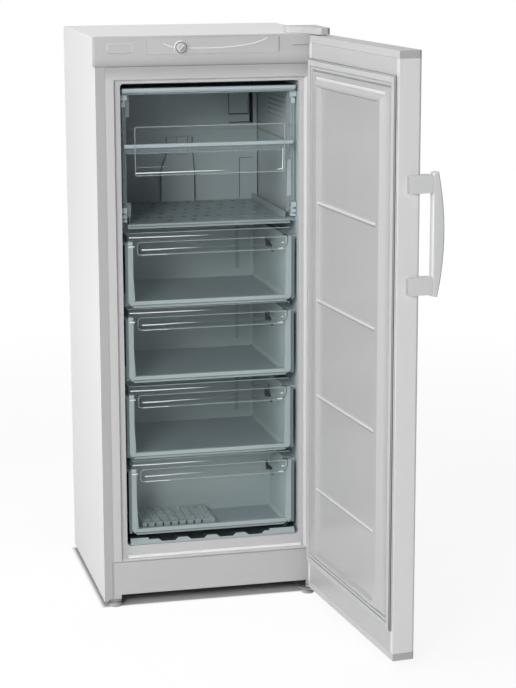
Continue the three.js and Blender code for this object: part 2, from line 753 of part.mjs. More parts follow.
function plinth() {
  const half = flangeInner;
  const top = plinthTop - gap;
  const outer = block(-half, half, 0, plinthDepth, legBottom, top);
  const hollow = block(-half + plinthWall, half - plinthWall, plinthWall, plinthDepth + 1,
    plinthBottom + plinthWall, top - plinthWall);
  const notch = block(-half + plinthLegWidth, half - plinthLegWidth, -1, plinthDepth + 1,
    legBottom - 1, plinthBottom);
  const legHollows = [-1, 1].map((side) => between(side * (half - plinthLegWidth + plinthWall),
    side * (half - plinthWall), plinthWall, plinthDepth + 1, legBottom - 1, plinthBottom + plinthWall + 1));
  add(cabinet, 'plinth', 'whitePlastic', cut(outer, hollow, notch, ...legHollows));
}

// Levelling foot: a turned pad with a hexagon and its screw.
function levellingFoot(name, x, y, studTop) {
  const pad = turned([[0, 0], [footRadius - 1.5, 0], [footRadius, 1.5], [footRadius, 5],
    [footRadius - 4, footPadHeight], [0, footPadHeight]], 18);
  const hexagon = new THREE.CylinderGeometry(9, 9, 4, 6).rotateX(Math.PI / 2).translate(0, 0, footPadHeight + 1);
  const stud = rodZ(0, 0, footPadHeight, studTop, studRadius, 12);
  add(cabinet, name, 'greyPlastic', join(pad, hexagon, stud).translate(x, y, 0));
}

function rearFeet() {
  for (const [name, side] of [['rear_foot_left', -1], ['rear_foot_right', 1]]) {
    const pad = turned([[0, 0], [rearFootRadius - 2, 0], [rearFootRadius, 2],
      [rearFootRadius - 4, railHeight - gap], [0, railHeight - gap]], 20);
    add(cabinet, name, 'blackPlastic', pad.translate(side * (halfWidth - rearFootInset), rearFootY, 0));
  }
}

// ---- hinges -----------------------------------------------------------------------------------
const pinReach = 12;
const upperPlateZ = cabinetHeight + gap;

function bottomHinge() {
  const z1 = lowerPlateZ + bracketThickness;
  const plan = new THREE.Shape();
  plan.moveTo(footRightX - 24, 34);
  plan.lineTo(footRightX - 24, footRightY - 4);
  plan.lineTo(footRightX - 14, footRightY - 20);
  plan.lineTo(hingeX - 8, hingeY - 9);
  plan.absarc(hingeX, hingeY, 12, -Math.PI * 0.6, 0);
  plan.lineTo(hingeX + 12, -3);
  plan.lineTo(flangeInner + tabHalfWidth - 2, -3);
  plan.lineTo(flangeInner + tabHalfWidth - 2, 34);
  const plate = prismZ(plan, lowerPlateZ, z1, 6);
  const web = block(footRightX - 24, footRightX + 20, 31, 34, lowerPlateZ, railHeight - gap);
  const pin = rodZ(hingeX, hingeY, lowerPlateZ, doorBottom + pinReach, hingePinRadius);
  const shoulder = rodZ(hingeX, hingeY, z1 - 0.5, doorBottom - gap, hingePinRadius + 3);
  const hole = rodZ(footRightX, footRightY, 0, 40, studRadius + runGap, 16);
  add(cabinet, 'bottom_hinge_bracket', 'zincSteel', cut(join(plate, web, pin, shoulder), hole));
}

const coverHeight = 17;
const coverReach = 3.5;       // cover beyond the bracket's edge
const coverWall = 2;
const upperPlan = [[-69, 133], [-69, 98], [-37, 74], [-17, -4], [-9, -10], [6, -10], [11, -5], [11, 133]]
  .map(([x, y]) => [hingeX + x, hingeY + y]); // from the hinge's axis
const upperScrews = [[-53, 118], [-3, 118], [-17, 86]].map(([x, y]) => [hingeX + x, hingeY + y]);

function topHinge() {
  const plate = prismZ(outline(upperPlan), upperPlateZ, upperPlateZ + bracketThickness);
  const pin = rodZ(hingeX, hingeY, doorTop - pinReach, upperPlateZ + 1, hingePinRadius);
  const screws = upperScrews.map(([x, y]) => new THREE.CylinderGeometry(4.5, 5.5, 4, 9)
    .rotateX(Math.PI / 2).translate(x, y, upperPlateZ + bracketThickness + 1.2));
  add(cabinet, 'top_hinge_bracket', 'zincSteel', join(plate, pin, ...screws));
}

// Moves every side of a closed outline outwards by the same distance.
function offsetOutline(points, distance) {
  const count = points.length;
  const normals = points.map(([x, y], i) => {
    const [nx, ny] = points[(i + 1) % count];
    const length = Math.hypot(nx - x, ny - y);
    return [(ny - y) / length, (x - nx) / length];
  });
  return points.map(([x, y], i) => {
    const [ax, ay] = normals[(i + count - 1) % count];
    const [bx, by] = normals[i];
    const scale = distance / (1 + ax * bx + ay * by);
    return [x + (ax + bx) * scale, y + (ay + by) * scale];
  });
}

function topHingeCover() {
  const top = upperPlateZ + coverHeight;
  const outer = prismZ(outline(offsetOutline(upperPlan, coverReach)), upperPlateZ, top);
  const inner = prismZ(outline(offsetOutline(upperPlan, coverReach - coverWall)), upperPlateZ - 1, top - coverWall);
  add(cabinet, 'top_hinge_cover', 'whitePlastic', cut(outer, inner));
}

// ---- door -------------------------------------------------------------------------------------
const doorInner = -doorGap;
const doorOuter = -doorGap - doorThickness;
const doorPanelBottom = doorBottom + doorCap + gap;
const doorPanelTop = doorTop - doorCap - gap;

function doorPlan(inset) {
  const half = halfWidth - inset;
  const radius = doorEdgeRadius - inset;
  const front = doorOuter + inset;
  const shape = new THREE.Shape();
  shape.moveTo(half, doorInner - inset);
  shape.lineTo(-half, doorInner - inset);
  shape.lineTo(-half, front + radius);
  shape.absarc(-half + radius, front + radius, radius, Math.PI, Math.PI * 1.5);
  shape.absarc(half - radius, front + radius, radius, Math.PI * 1.5, Math.PI * 2);
  return shape;
}

function doorSkin() {
  const [z0, z1] = [doorPanelBottom, doorPanelTop];
  const shell = cut(prismZ(doorPlan(0), z0, z1), prismZ(doorPlan(sheet), z0 - 1, z1 + 1));
  const mouth = block(-halfWidth + doorFlange, halfWidth - doorFlange, doorInner - 2, doorInner + 1,
    z0 - 1, z1 + 1);
  add(doorContent, 'door_skin', 'enamel', cut(shell, mouth));
}

function doorCaps() {
  for (const [name, z0, z1, open] of [
    ['door_cap_bottom', doorBottom, doorBottom + doorCap, 1],
    ['door_cap_top', doorTop - doorCap, doorTop, -1],
  ]) {
    const pocket = prismZ(doorPlan(doorCapWall), z0 + (open > 0 ? doorCapWall : -1),
      z1 + (open > 0 ? 1 : -doorCapWall));
    const hub = rodZ(hingeX, hingeY, z0 + (open > 0 ? 0 : 1), z1 - (open > 0 ? 1 : 0),
      hingePinRadius + runGap + bushWall + 3, 16);
    const bore = rodZ(hingeX, hingeY, z0 - 2, z1 + 2, hingePinRadius + runGap + bushWall + gap, 16);
    const ribs = [-halfWidth / 2, 0, halfWidth / 2].map((x) => block(x - 1.5, x + 1.5,
      doorOuter + 1, doorInner - 1, z0 + 1, z1 - 1));
    add(doorContent, name, 'whitePlastic', cut(join(cut(prismZ(doorPlan(0), z0, z1), pocket), hub, ...ribs), bore));
  }
}

function hingeBushes() {
  const depth = doorCap - 3;
  for (const [name, z0] of [['hinge_bush_bottom', doorBottom], ['hinge_bush_top', doorTop - depth]]) {
    const sleeve = rodZ(hingeX, hingeY, z0, z0 + depth, hingePinRadius + runGap + bushWall, 16);
    const bore = rodZ(hingeX, hingeY, z0 - 1, z0 + depth + 1, hingePinRadius + runGap, 16);
    add(doorContent, name, 'greyPlastic', cut(sleeve, bore));
  }
}

// The pressed relief of the door's inner panel: margin, shoulder, crest, sunken panel and ribs.
// "inset" draws the same surface further in, for the panel's hidden side and for the foam.
function doorRelief(inset) {
  const at = (i) => {
    const grow = i < 4 ? -inset : inset;
    return [plugHalfWidth[i] + grow, plugBottom[i] - grow, plugTop[i] + grow];
  };
  const rise = (height) => doorInner + height - inset;
  const past = inset > 0 ? 1 : 0;
  const half = halfWidth - doorFlange - gap + past;
  const [z0, z1] = [doorPanelBottom - past, doorPanelTop + past];
  const [marginHalf, marginBottom, marginTop] = at(0);
  const marginEdge = [marginHalf - plugSlope, marginBottom + plugSlope, marginTop - plugSlope];
  const base = block(-half, half, doorOuter / 2 - past, rise(0), z0, z1);
  const margin = frustum(at(0), rise(0) - 1, marginEdge, rise(plugRise[0]));
  const shoulder = frustum(at(1), rise(plugRise[0]) - 1, at(2), rise(plugRise[1]));
  const crest = frustum(at(2), rise(plugRise[1]) - 0.5, at(3), rise(plugRise[2]));
  const panel = frustum(at(5), rise(panelRise), at(4), rise(plugRise[2]) + 0.01);
  const panelHeight = plugTop[5] - plugBottom[5];
  const ribs = [];
  for (let i = 0; i < ribCount; i += 1) {
    const z = plugBottom[5] + (ribFirst + i * ribPitch) * panelHeight;
    ribs.push(prismX(outline([
      [rise(panelRise) - 1, z + ribHeight - inset], [rise(ribRise), z + ribHeight * 0.35 - inset / 2],
      [rise(ribRise), z - ribHeight * 0.35 + inset / 2], [rise(panelRise) - 1, z - ribHeight + inset],
    ]), -plugHalfWidth[4] - 1 - inset, plugHalfWidth[4] + 1 + inset));
  }
  return join(cut(join(base, margin, shoulder, crest), panel), ...ribs);
}

function doorLinerAndFoam() {
  const sheetBack = doorRelief(doorLinerWall);
  add(doorContent, 'door_liner', 'linerPlastic', cut(doorRelief(0), sheetBack));
  const foamFace = doorInner - doorLinerWall - gap;
  const core = common(prismZ(doorPlan(sheet + gap), doorPanelBottom, doorPanelTop),
    block(-halfWidth, halfWidth, doorOuter, foamFace, doorPanelBottom, doorPanelTop));
  const raised = common(doorRelief(doorLinerWall + gap), block(-halfWidth + doorFlange + gap,
    halfWidth - doorFlange - gap, foamFace - 1, plugRise[2], doorPanelBottom, doorPanelTop));
  add(doorContent, 'door_foam', 'foam', join(core, raised));
}

function doorGasket() {
  const ring = (inset0, inset1, y0, y1) => {
    const outer = block(-gasketHalfWidth + inset0, gasketHalfWidth - inset0, y0, y1,
      gasketBottom + inset0, gasketTop - inset0);
    const inner = block(-gasketHalfWidth + inset1, gasketHalfWidth - inset1, y0 - 1, y1 + 1,
      gasketBottom + inset1, gasketTop - inset1);
    return cut(outer, inner);
  };
  const low = doorInner + gap;
  const tip = -gasketSqueeze;
  const parts = [
    ring(0, gasketWidth, low, low + gasketBase),
    ring(3, gasketWidth - 9, low + gasketBase - 0.5, tip),
    ring(gasketWidth - 6, gasketWidth - 1, low + gasketBase - 0.5, tip - 2),
    ring(0, 1.4, low + gasketBase - 0.5, tip - 1.5),
  ];
  add(doorContent, 'door_gasket', 'rubber', join(...parts));
}

// ---- handle: two feet on the door's edge and a bow that stands before its face -----------------
const bowInner = doorOuter - handleStandoff;
const handleOuterX = -halfWidth - gap - handleFootThickness;

function handleBow() {
  const top = handleCentreZ + handleHeight / 2;
  const bottom = handleCentreZ - handleHeight / 2;
  const tip = doorOuter - handleEndReach;
  const mid = doorOuter - handleMidReach;
  const shape = new THREE.Shape();
  shape.moveTo(bowInner, bottom + 2);
  shape.lineTo(tip, bottom);
  shape.quadraticCurveTo(2 * mid - tip, handleCentreZ, tip, top);
  shape.lineTo(bowInner, top - 2);
  shape.closePath();
  const bevel = 2.5;
  const options = { depth: handleWidth - 2 * bevel, bevelEnabled: true, bevelThickness: bevel,
    bevelSize: bevel, bevelOffset: -bevel, bevelSegments: 2, curveSegments: 12 };
  const bow = new THREE.ExtrudeGeometry(shape, options).applyMatrix4(axesToX);
  bow.translate(handleOuterX + bevel, 0, 0);
  add(doorContent, 'handle_bow', 'whitePlastic', geometryOf(solidOf(bow)));
}

function handleFeet() {
  const reach = bowInner + gap;
  for (const [name, z] of [
    ['handle_foot_upper', handleCentreZ + handleHeight / 2 - handleFootInset - handleFootHeight],
    ['handle_foot_lower', handleCentreZ - handleHeight / 2 + handleFootInset],
  ]) {
    const arm = outline([
      [handleOuterX + 2, -handleFootBack], [-halfWidth - gap, -handleFootBack],
      [-halfWidth - gap, doorOuter - 1.5], [handleOuterX + handleWidth, doorOuter - 4],
      [handleOuterX + handleWidth, reach], [handleOuterX, reach], [handleOuterX, -handleFootBack - 2],
    ].reverse());
    const face = prismX(roundedRect(reach, -handleFootBack, z, z + handleFootHeight, 5),
      handleOuterX - 1, handleOuterX + handleWidth + 1);
    add(doorContent, name, 'whitePlastic', common(prismZ(arm, z, z + handleFootHeight), face));
  }
}

// ---- inside: duct, rails, flap, shelves ---------------------------------------------------------
const ductWall = 2;

// Shallow box under the ceiling, with outlets in its top; its front has a face, a groove and a lower lip.
function ceilingDuct() {
  const top = ductBottom + ductHeight;
  const faceBottom = ductBottom + 8;
  const lipTop = ductBottom + 4;
  const body = prismX(outline([
    [ductFront, top], [ductFront, faceBottom], [ductFront + 4, faceBottom - 1],
    [ductFront + 4, lipTop], [ductFront, lipTop - 0.5], [ductFront, ductBottom],
    [ductDepth, ductBottom], [ductDepth, top],
  ]), -ductHalfWidth, ductHalfWidth);
  const hollow = block(-ductHalfWidth + ductWall, ductHalfWidth - ductWall, ductFront + 10, ductDepth + 5,
    ductBottom + ductWall, top - ductWall);
  const pitch = (2 * ductHalfWidth - 80) / (ductPorts - 1);
  const ports = [];
  for (let i = 0; i < ductPorts; i += 1) {
    const x = (i - (ductPorts - 1) / 2) * pitch;
    ports.push(block(x - 13, x + 13, ductFront + 4, ductFront + 14, top - ductWall - 1, top + 1));
  }
  add(cabinet, 'ceiling_air_duct', 'frostPlastic', cut(body, hollow, ...ports));
}

const pinY = flapFront + flapPinBack;
const pinZ = flapBottom + flapHeight - flapPinDrop;
const railWall = cavityHalfWidth - gap - 2; // outer face of the rails' blocks
const armThickness = 4;

// Upright strip with stepped blocks at both ends, each with a thin arm towards the shelf.
function sideRails() {
  for (const [name, side] of [['side_rail_left', -1], ['side_rail_right', 1]]) {
    const span = (x0, x1, y0, y1, z0, z1) => between(side * x0, side * x1, y0, y1, z0, z1);
    const outer = railInner + railBarWidth;
    const back = railFace + railDepth;
    const parts = [
      span(railInner, outer, railFace, back, railBottom, railTop),
      span(railInner - 3, railWall, railFace - 6, back, railTop - 14, railTop),
      span(railInner + 2, railWall - 3, railFace - 3, back, railTop - 32, railTop - 18),
      span(railInner - 9, railInner + 1, railFace, railFace + armThickness, railTop - 58, railTop - 4),
      span(railInner + 1, railWall, railFace - 6, back + 6, railBottom + 24, railBottom + 38),
      span(railInner + 1, railWall, railFace - 4, back, railBottom + 10, railBottom + 19),
      span(railInner + 1, railWall, railFace - 4, back, railBottom, railBottom + 6),
      span(railInner - 10, railInner + 1, railFace, railFace + armThickness, railBottom + 14, railBottom + 50),
      span(railInner, outer, railFace, pinY + 7, pinZ - 7, pinZ + 7),
    ];
    const ends = [side * (railInner - 20), side * (outer - 3)];
    const bore = rodX(Math.min(...ends), Math.max(...ends), pinY, pinZ, flapPinRadius + runGap, 12);
    add(cabinet, name, 'frostPlastic', cut(join(...parts), bore));
  }
}

// Clear front with turned-back edges, two cheeks and a pin on each.
function shelfFlap() {
  const top = flapBottom + flapHeight;
  const pane = prismY(roundedRect(-flapHalfWidth, flapHalfWidth, flapBottom, top, flapCorner),
    flapFront, flapFront + flapThickness, 3);
  const edge = flapHalfWidth - flapCorner - 1;
  const lip = block(-edge, edge, flapFront + 1, flapFront + flapLip, flapBottom, flapBottom + 2.5);
  const rim = block(-edge, edge, flapFront + 1, flapFront + 6, top - 2.5, top);
  const parts = [pane, lip, rim];
  for (const side of [-1, 1]) {
    const a = side * flapHalfWidth;
    const b = side * (flapHalfWidth - flapThickness);
    const cheek = outline([
      [flapFront + 1, flapBottom + 7], [flapFront + flapLip, flapBottom + 9],
      [flapFront + flapLip, trimTopZ + 2], [pinY + 6, pinZ - 10], [pinY + 6, pinZ],
      [pinY + 4, pinZ + 5], [flapFront + 1, pinZ + 5],
    ]);
    parts.push(prismX(cheek, Math.min(a, b), Math.max(a, b)));
    const pinEnd = side * (railInner + railBarWidth - 5);
    parts.push(rodX(Math.min(b, pinEnd), Math.max(b, pinEnd), pinY, pinZ, flapPinRadius, 12));
  }
  add(cabinet, 'shelf_flap', 'clearPlastic', join(...parts));
}

// A shelf's outline from above: narrow between the side rails, then wider to the back.
function shelfPlan(front, frontHalf) {
  return outline([[-frontHalf, front], [frontHalf, front], [frontHalf, shelfShoulder],
    [shelfHalfWidth, shelfShoulder], [shelfHalfWidth - shelfTaper, shelfBack],
    [-shelfHalfWidth + shelfTaper, shelfBack], [-shelfHalfWidth, shelfShoulder], [-frontHalf, shelfShoulder]]);
}

// The upper shelf's front trim: a bright face, a groove, a bar and a lower lip on one web.
function shelfOne() {
  const z0 = shelfTopZ - shelfThickness;
  const web = trimFront + 5;
  add(cabinet, 'shelf_1', 'frostPlastic', prismZ(shelfPlan(web + gap, railInner - gap), z0, shelfTopZ));
  const low = trimTopZ - trimHeight;
  const profile = outline([
    [trimFront, trimTopZ], [trimFront, trimTopZ - 9], [trimFront + 3, trimTopZ - 9.5],
    [trimFront + 3, trimTopZ - 12.5], [trimFront, trimTopZ - 13], [trimFront, trimTopZ - 16],
    [trimFront + 3, trimTopZ - 16.5], [trimFront + 3, low + 3.5], [trimFront, low + 3], [trimFront, low],
    [trimBack, low], [trimBack, z0 - gap], [web, z0 - gap], [web, shelfTopZ + gap],
    [trimBack, shelfTopZ + gap], [trimBack, trimTopZ],
  ]);
  add(cabinet, 'shelf_1_trim', 'frostPlastic', prismX(profile, -trimHalfWidth, trimHalfWidth));
}

// Perforated tray: a plate with raised rims, a grooved front bar and rows of oval slots in pairs.
function shelfTwo() {
  const z0 = gridZ - gridThickness;
  const plate = prismZ(shelfPlan(gridFront + 1, gridHalfWidth), z0, gridZ);
  const rims = [-1, 1].map((side) => between(side * gridRimX, side * (gridRimX + 3),
    railFace + railDepth + 8, shelfBack - 4, z0 + 1, gridZ + gridRimHeight));
  const low = gridZ - gridBarHeight;
  const bar = prismX(outline([
    [gridFront, gridZ], [gridFront + 8, gridZ], [gridFront + 8, low], [gridFront, low],
    [gridFront, low + 4], [gridFront + 3, low + 4.5], [gridFront + 3, low + 6], [gridFront, low + 6.5],
  ]), -gridHalfWidth, gridHalfWidth);
  const slots = [];
  const pairPitch = (2 * gridRimX - 26) / slotPairs;
  const rowPitch = (shelfBack - slotFirstY - 30) / (slotRows - 1);
  const [a, b] = [slotLength / 2, slotWidth / 2];
  for (let row = 0; row < slotRows; row += 1) {
    const y = slotFirstY + row * rowPitch;
    const apart = row % 2 ? pairPitch / 2 : pairPitch;
    const count = Math.round((slotPairs * pairPitch) / apart);
    for (let i = 0; i < count; i += 1) {
      const x = (i - (count - 1) / 2) * apart;
      slots.push(prismZ(outline([[x - a, y], [x - a + b, y - b], [x + a - b, y - b], [x + a, y],
        [x + a - b, y + b], [x - a + b, y + b]]), z0 - 1, gridZ + 1));
    }
  }
  add(cabinet, 'shelf_2', 'frostPlastic', cut(join(plate, ...rims, bar), ...slots));
}

// Sill insert with a long return-air slot that widens into four scallops.
function floorVent() {
  const z0 = cavityBottom + gap;
  const top = z0 + ventHeight;
  const body = prismX(outline([
    [ventFront, z0], [ventBack, z0], [ventBack, top], [ventFront + 9, top], [ventFront, z0 + 6],
  ]), -cavityHalfWidth + cavityCorner + 1, cavityHalfWidth - cavityCorner - 1);
  const deep = [ventFront - 5, ventBack - 6];
  const slot = block(-ventHalfWidth, ventHalfWidth - 20, ...deep, top - 4, top + 1);
  const scallops = [0, 1, 2, 3].map((i) => {
    const x = -ventHalfWidth + 25 + i * ventPitch;
    return prismY(outline([[x, top - 3], [x + 11, top - 10], [x + 46, top - 10], [x + 57, top - 3]]), ...deep);
  });
  add(cabinet, 'floor_vent', 'frostPlastic', cut(body, slot, ...scallops));
}

// ---- drawers ------------------------------------------------------------------------------------
// Tub with an outward rim that runs on the liner, a framed window in front and a stop hole each side.
function drawerTub(index, { bottom, height, back, shift }) {
  const wallTop = bottom + height - headHeight;
  const half = drawerBodyHalfWidth;
  const past = wallTop + 80;
  const body = (grow, y0) => taperedBox(
    [half - grow, bottom + drawerFloorFront + grow, past], y0,
    [half - drawerTaper - grow, bottom + drawerFloorRear + grow, past], back - grow,
    drawerCorner - grow / 2);
  const above = block(-halfWidth, halfWidth, 0, back + 10, wallTop, past + 20);
  const shell = cut(body(0, drawerFront + 3), body(drawerWall, drawerFront - 2), above);
  const rimOuter = block(-halfWidth, halfWidth, drawerFront + runnerStart + 2, back + 2, wallTop - drawerWall, wallTop);
  const rimTaper = frustum([half + drawerLip, 0, cabinetHeight], drawerFront,
    [half - drawerTaper + drawerLip, 0, cabinetHeight], back + 2);
  const rim = cut(common(rimOuter, rimTaper), body(drawerWall, drawerFront - 2));
  const frameBack = drawerFront + drawerFrameDepth;
  const frame = prismY(roundedRect(-drawerHalfWidth, drawerHalfWidth, bottom + drawerTier, past, drawerFrameRadius),
    drawerFront, frameBack, 3);
  const tier = block(-half, half, drawerFront + 3, frameBack, bottom, bottom + drawerTier + 2);
  const windowHalf = drawerHalfWidth - drawerBorder;
  const opening = block(-windowHalf, windowHalf, 0, drawerFront + paneThickness + gap,
    bottom + drawerTier + drawerBorder, past + 10);
  const well = block(-half + drawerWall, half - drawerWall, 0, frameBack + 1,
    bottom + drawerTier + drawerBorder, past + 10);
  const hole = block(-halfWidth, halfWidth, stopHoleFront, stopHoleBack,
    wallTop - stopHoleDrop - stopHoleHeight, wallTop - stopHoleDrop);
  const holes = back > stopHoleBack ? [hole] : [];
  const front = cut(join(frame, tier), opening, well, above);
  add(cabinet, `drawer_${index}_tub`, 'frostPlastic',
    cut(join(shell, rim, front), ...holes).translate(shift, 0, 0));
}

// Clear pane with a rolled head over the full width and a grip pocket with a rising floor.
function drawerPane(index, { bottom, height, shift }) {
  const top = bottom + height;
  const wallTop = top - headHeight;
  const half = drawerHalfWidth - drawerBorder - gap;
  const y0 = drawerFront;
  const pane = block(-half, half, y0, y0 + paneThickness, bottom + drawerTier + drawerBorder + gap, wallTop + 2);
  // "inset" draws the hollow inside, which runs out past the back and the underside by "past".
  const rolled = (inset, past) => {
    const shape = new THREE.Shape();
    shape.moveTo(y0 + inset, wallTop + gap - past);
    shape.lineTo(y0 + headBack + past, wallTop + gap - past);
    shape.lineTo(y0 + headBack + past, top - inset);
    shape.lineTo(y0 + headRoll, top - inset);
    shape.absarc(y0 + headRoll, top - headRoll, headRoll - inset, Math.PI / 2, Math.PI);
    return shape;
  };
  const head = cut(prismX(rolled(0, 0), -drawerHalfWidth, drawerHalfWidth),
    prismX(rolled(headWall, 1), -drawerHalfWidth + headWall, drawerHalfWidth - headWall));
  const grip = (wall, yFront, yBack) => taperedBox(
    [gripHalfWidth - wall, wallTop - gripHeight + wall, wallTop - wall], yFront,
    [gripHalfWidth - 4 - wall, wallTop - gripHeight + gripRise + wall, wallTop - 2 - wall], yBack,
    gripCorner - wall);
  const pocket = grip(0, y0 + 0.5, y0 + gripDepth);
  const hollow = grip(2, y0 - 1, y0 + gripDepth - 2);
  add(cabinet, `drawer_${index}_front`, 'clearPlastic',
    cut(join(pane, head, pocket), hollow).translate(shift, 0, 0));
}

// Ice tray in the lowest drawer: a slab with tapered cups and notches along its front skirt.
function iceTray() {
  const floor = drawers[3].bottom + drawerFloorRear + drawerWall + gap;
  const top = floor + trayHeight;
  const wide = (trayRight - trayLeft - 8) / trayColumns;
  const deep = (trayBack - trayFront - 10) / trayRows;
  const cups = [];
  for (let i = 0; i < trayColumns; i += 1) {
    for (let j = 0; j < trayRows; j += 1) {
      const x = trayLeft + 4 + wide * (i + 0.5);
      const y = trayFront + 6 + deep * (j + 0.5);
      const points = [];
      for (const [a, b, z] of [[wide / 2 - 1.2, deep / 2 - 1.5, top + 1], [wide / 2 - 4, deep / 2 - 6, floor + 3]]) {
        for (const [u, v] of [[-1, -1], [1, -1], [1, 1], [-1, 1]]) {
          points.push(new THREE.Vector3(x + u * a, y + v * b, z));
        }
      }
      cups.push(new ConvexGeometry(points));
    }
    const x = trayLeft + 4 + wide * (i + 0.5);
    cups.push(prismY(outline([[x - 5, floor - 1], [x + 5, floor - 1], [x + 3, floor + 7], [x - 3, floor + 7]]),
      trayFront - 1, trayFront + 4));
  }
  add(cabinet, 'ice_tray', 'frostPlastic', cut(block(trayLeft, trayRight, trayFront, trayBack, floor, top), ...cups));
}

// ---- air circuit --------------------------------------------------------------------------------
// Rear wall with a raised bottle-shaped duct, a column, a recess and air slots behind the drawers.
function evaporatorCover() {
  const half = cavityHalfWidth - cavityTaper - 1.2;
  const top = cavityTop - 4;
  const y1 = wallFront + wallThickness;
  const plate = prismY(roundedRect(-half, half, wallBottom, top, cavityCorner), wallFront, y1, 3);
  const up = (height) => gridZ + height * stretch;
  const bottle = new THREE.Shape();
  bottle.moveTo(-52, up(-160));
  bottle.lineTo(42, up(-160));
  bottle.lineTo(42, up(105));
  bottle.quadraticCurveTo(42, up(128), 36, up(140));
  bottle.lineTo(36, up(178));
  bottle.lineTo(-34, up(178));
  bottle.lineTo(-34, up(135));
  bottle.quadraticCurveTo(-38, up(110), -52, up(90));
  const duct = prismY(bottle, wallFront - formRise, wallFront + 0.5, 3);
  const column = block(half - 52, half - 1, wallFront - 4, wallFront + 0.5, up(-150), up(120));
  const bay = block(half - 80, half - 26, wallFront - 1, wallFront + wallThickness / 2,
    shelfTopZ + 33, shelfTopZ + 99 * stretch);
  const slit = block(half - 22, half - 12, wallFront - 5, y1 + 1, shelfTopZ + 13, shelfTopZ + 99 * stretch);
  const slots = [];
  for (let i = 0; i < slotLevels; i += 1) {
    const z = up(-210) - i * slotLevelPitch * stretch;
    for (const x of [-half / 2, 0, half / 2]) {
      slots.push(block(x - 28, x + 28, wallFront - 10, y1 + 1, z - 3, z + 3));
    }
  }
  const footHalf = 6;
  const feet = [[-half + 24, wallBottom + 348 * stretch], [half - 24, wallBottom + 348 * stretch],
    [-half + 19, top - 78 * stretch], [-half + 19, up(-18)]].map(([x, z]) =>
    block(x - footHalf, x + footHalf, y1 - 0.5, cavityDepth - gap, z - footHalf, z + footHalf));
  add(cabinet, 'evaporator_cover', 'frostPlastic',
    cut(join(plate, duct, column, ...feet), bay, ...slots, slit));
}

// Finned coil: plates on a tube that runs to and fro.
function evaporator() {
  const y0 = coilBack - coilDepth;
  const yMid = (y0 + coilBack) / 2;
  const fins = [];
  for (let i = 0; i < coilFins; i += 1) {
    const x = -coilHalfWidth + 14 + i * ((2 * coilHalfWidth - 28) / (coilFins - 1));
    fins.push(block(x - 0.6, x + 0.6, y0, coilBack, coilBottom, coilTop));
  }
  const runs = 4;
  const route = [];
  for (let i = 0; i < runs; i += 1) {
    const z = coilBottom + 20 + i * ((coilTop - coilBottom - 40) / (runs - 1));
    const ends = i % 2 ? [coilHalfWidth, -coilHalfWidth] : [-coilHalfWidth, coilHalfWidth];
    route.push([ends[0], yMid, z], [ends[1], yMid, z]);
  }
  const brackets = [-1, 1].map((side) => block(
    side * (coilHalfWidth - 14) - 1.5, side * (coilHalfWidth - 14) + 1.5, coilBack - 1, cavityDepth - gap,
    coilTop - 30, coilTop - 6));
  add(cabinet, 'evaporator', 'aluminium', join(...fins, tube(route, 12, coilTube, 5, 2), ...brackets));
}

function fanAndMotor() {
  const front = fanY - fanDepth / 2;
  const back = fanY + fanDepth / 2;
  const motor = rodY(0, back + 2, cavityDepth - 6, fanZ, motorRadius, 20);
  const arms = [0, 1, 2].map((i) => block(-3, 3, cavityDepth - 8, cavityDepth - gap, -4, 34)
    .rotateY((i * Math.PI * 2) / 3).translate(0, 0, fanZ));
  const spindleHole = rodY(0, front, back + 10, fanZ, spindleRadius + runGap, 12);
  add(cabinet, 'fan_motor', 'blackPlastic', cut(join(motor, ...arms), spindleHole));
  const parts = [rodY(0, front, back, fanZ, fanHub, 20), rodY(0, front, back + 8, fanZ, spindleRadius, 10)];
  for (let i = 0; i < fanBlades; i += 1) {
    const blade = prismZ(outline([[-7, fanHub - 3], [7, fanHub - 3], [15, fanRadius - 4], [9, fanRadius],
      [-9, fanRadius], [-13, fanRadius - 5]]), -0.8, 0.8);
    blade.rotateX(Math.PI / 2).rotateZ(THREE.MathUtils.degToRad(24));
    blade.rotateY((i * Math.PI * 2) / fanBlades).translate(0, fanY, fanZ);
    parts.push(blade);
  }
  add(cabinet, 'evaporator_fan', 'blackPlastic', join(...parts));
}

// ---- compressor space ---------------------------------------------------------------------------
const compressorBase = railHeight + railThickness + grommetHeight;
const evapTrayZ = compressorBase + compressorHeight + 8;

function compressor() {
  const r = compressorRadius;
  const h = compressorHeight;
  const can = turned([[0, 4], [r * 0.62, 4], [r * 0.9, 16], [r, 34], [r, h * 0.42], [r + 3, h * 0.43],
    [r + 3, h * 0.47], [r, h * 0.48], [r * 0.98, h * 0.7], [r * 0.85, h * 0.9], [r * 0.55, h - 2], [0, h]], 20);
  can.scale(compressorStretch, 1, 1);
  const plate = prismZ(roundedRect(-r * compressorStretch - 4, r * compressorStretch + 4, -r + 8, r - 8, 12), 0, 5, 3);
  const holes = mountPoints().map(([x, y]) => rodZ(x, y, -1, 6, 4.4, 12));
  const body = join(can, cut(plate, ...holes));
  add(cabinet, 'compressor', 'blackPaint', body.translate(compressorX, compressorY, compressorBase));
}

const mountReachX = compressorRadius * compressorStretch - 6;
const mountReachY = compressorRadius - 20;
function mountPoints() {
  return [[-1, -1], [1, -1], [1, 1], [-1, 1]].map(([u, v]) => [u * mountReachX, v * mountReachY]);
}

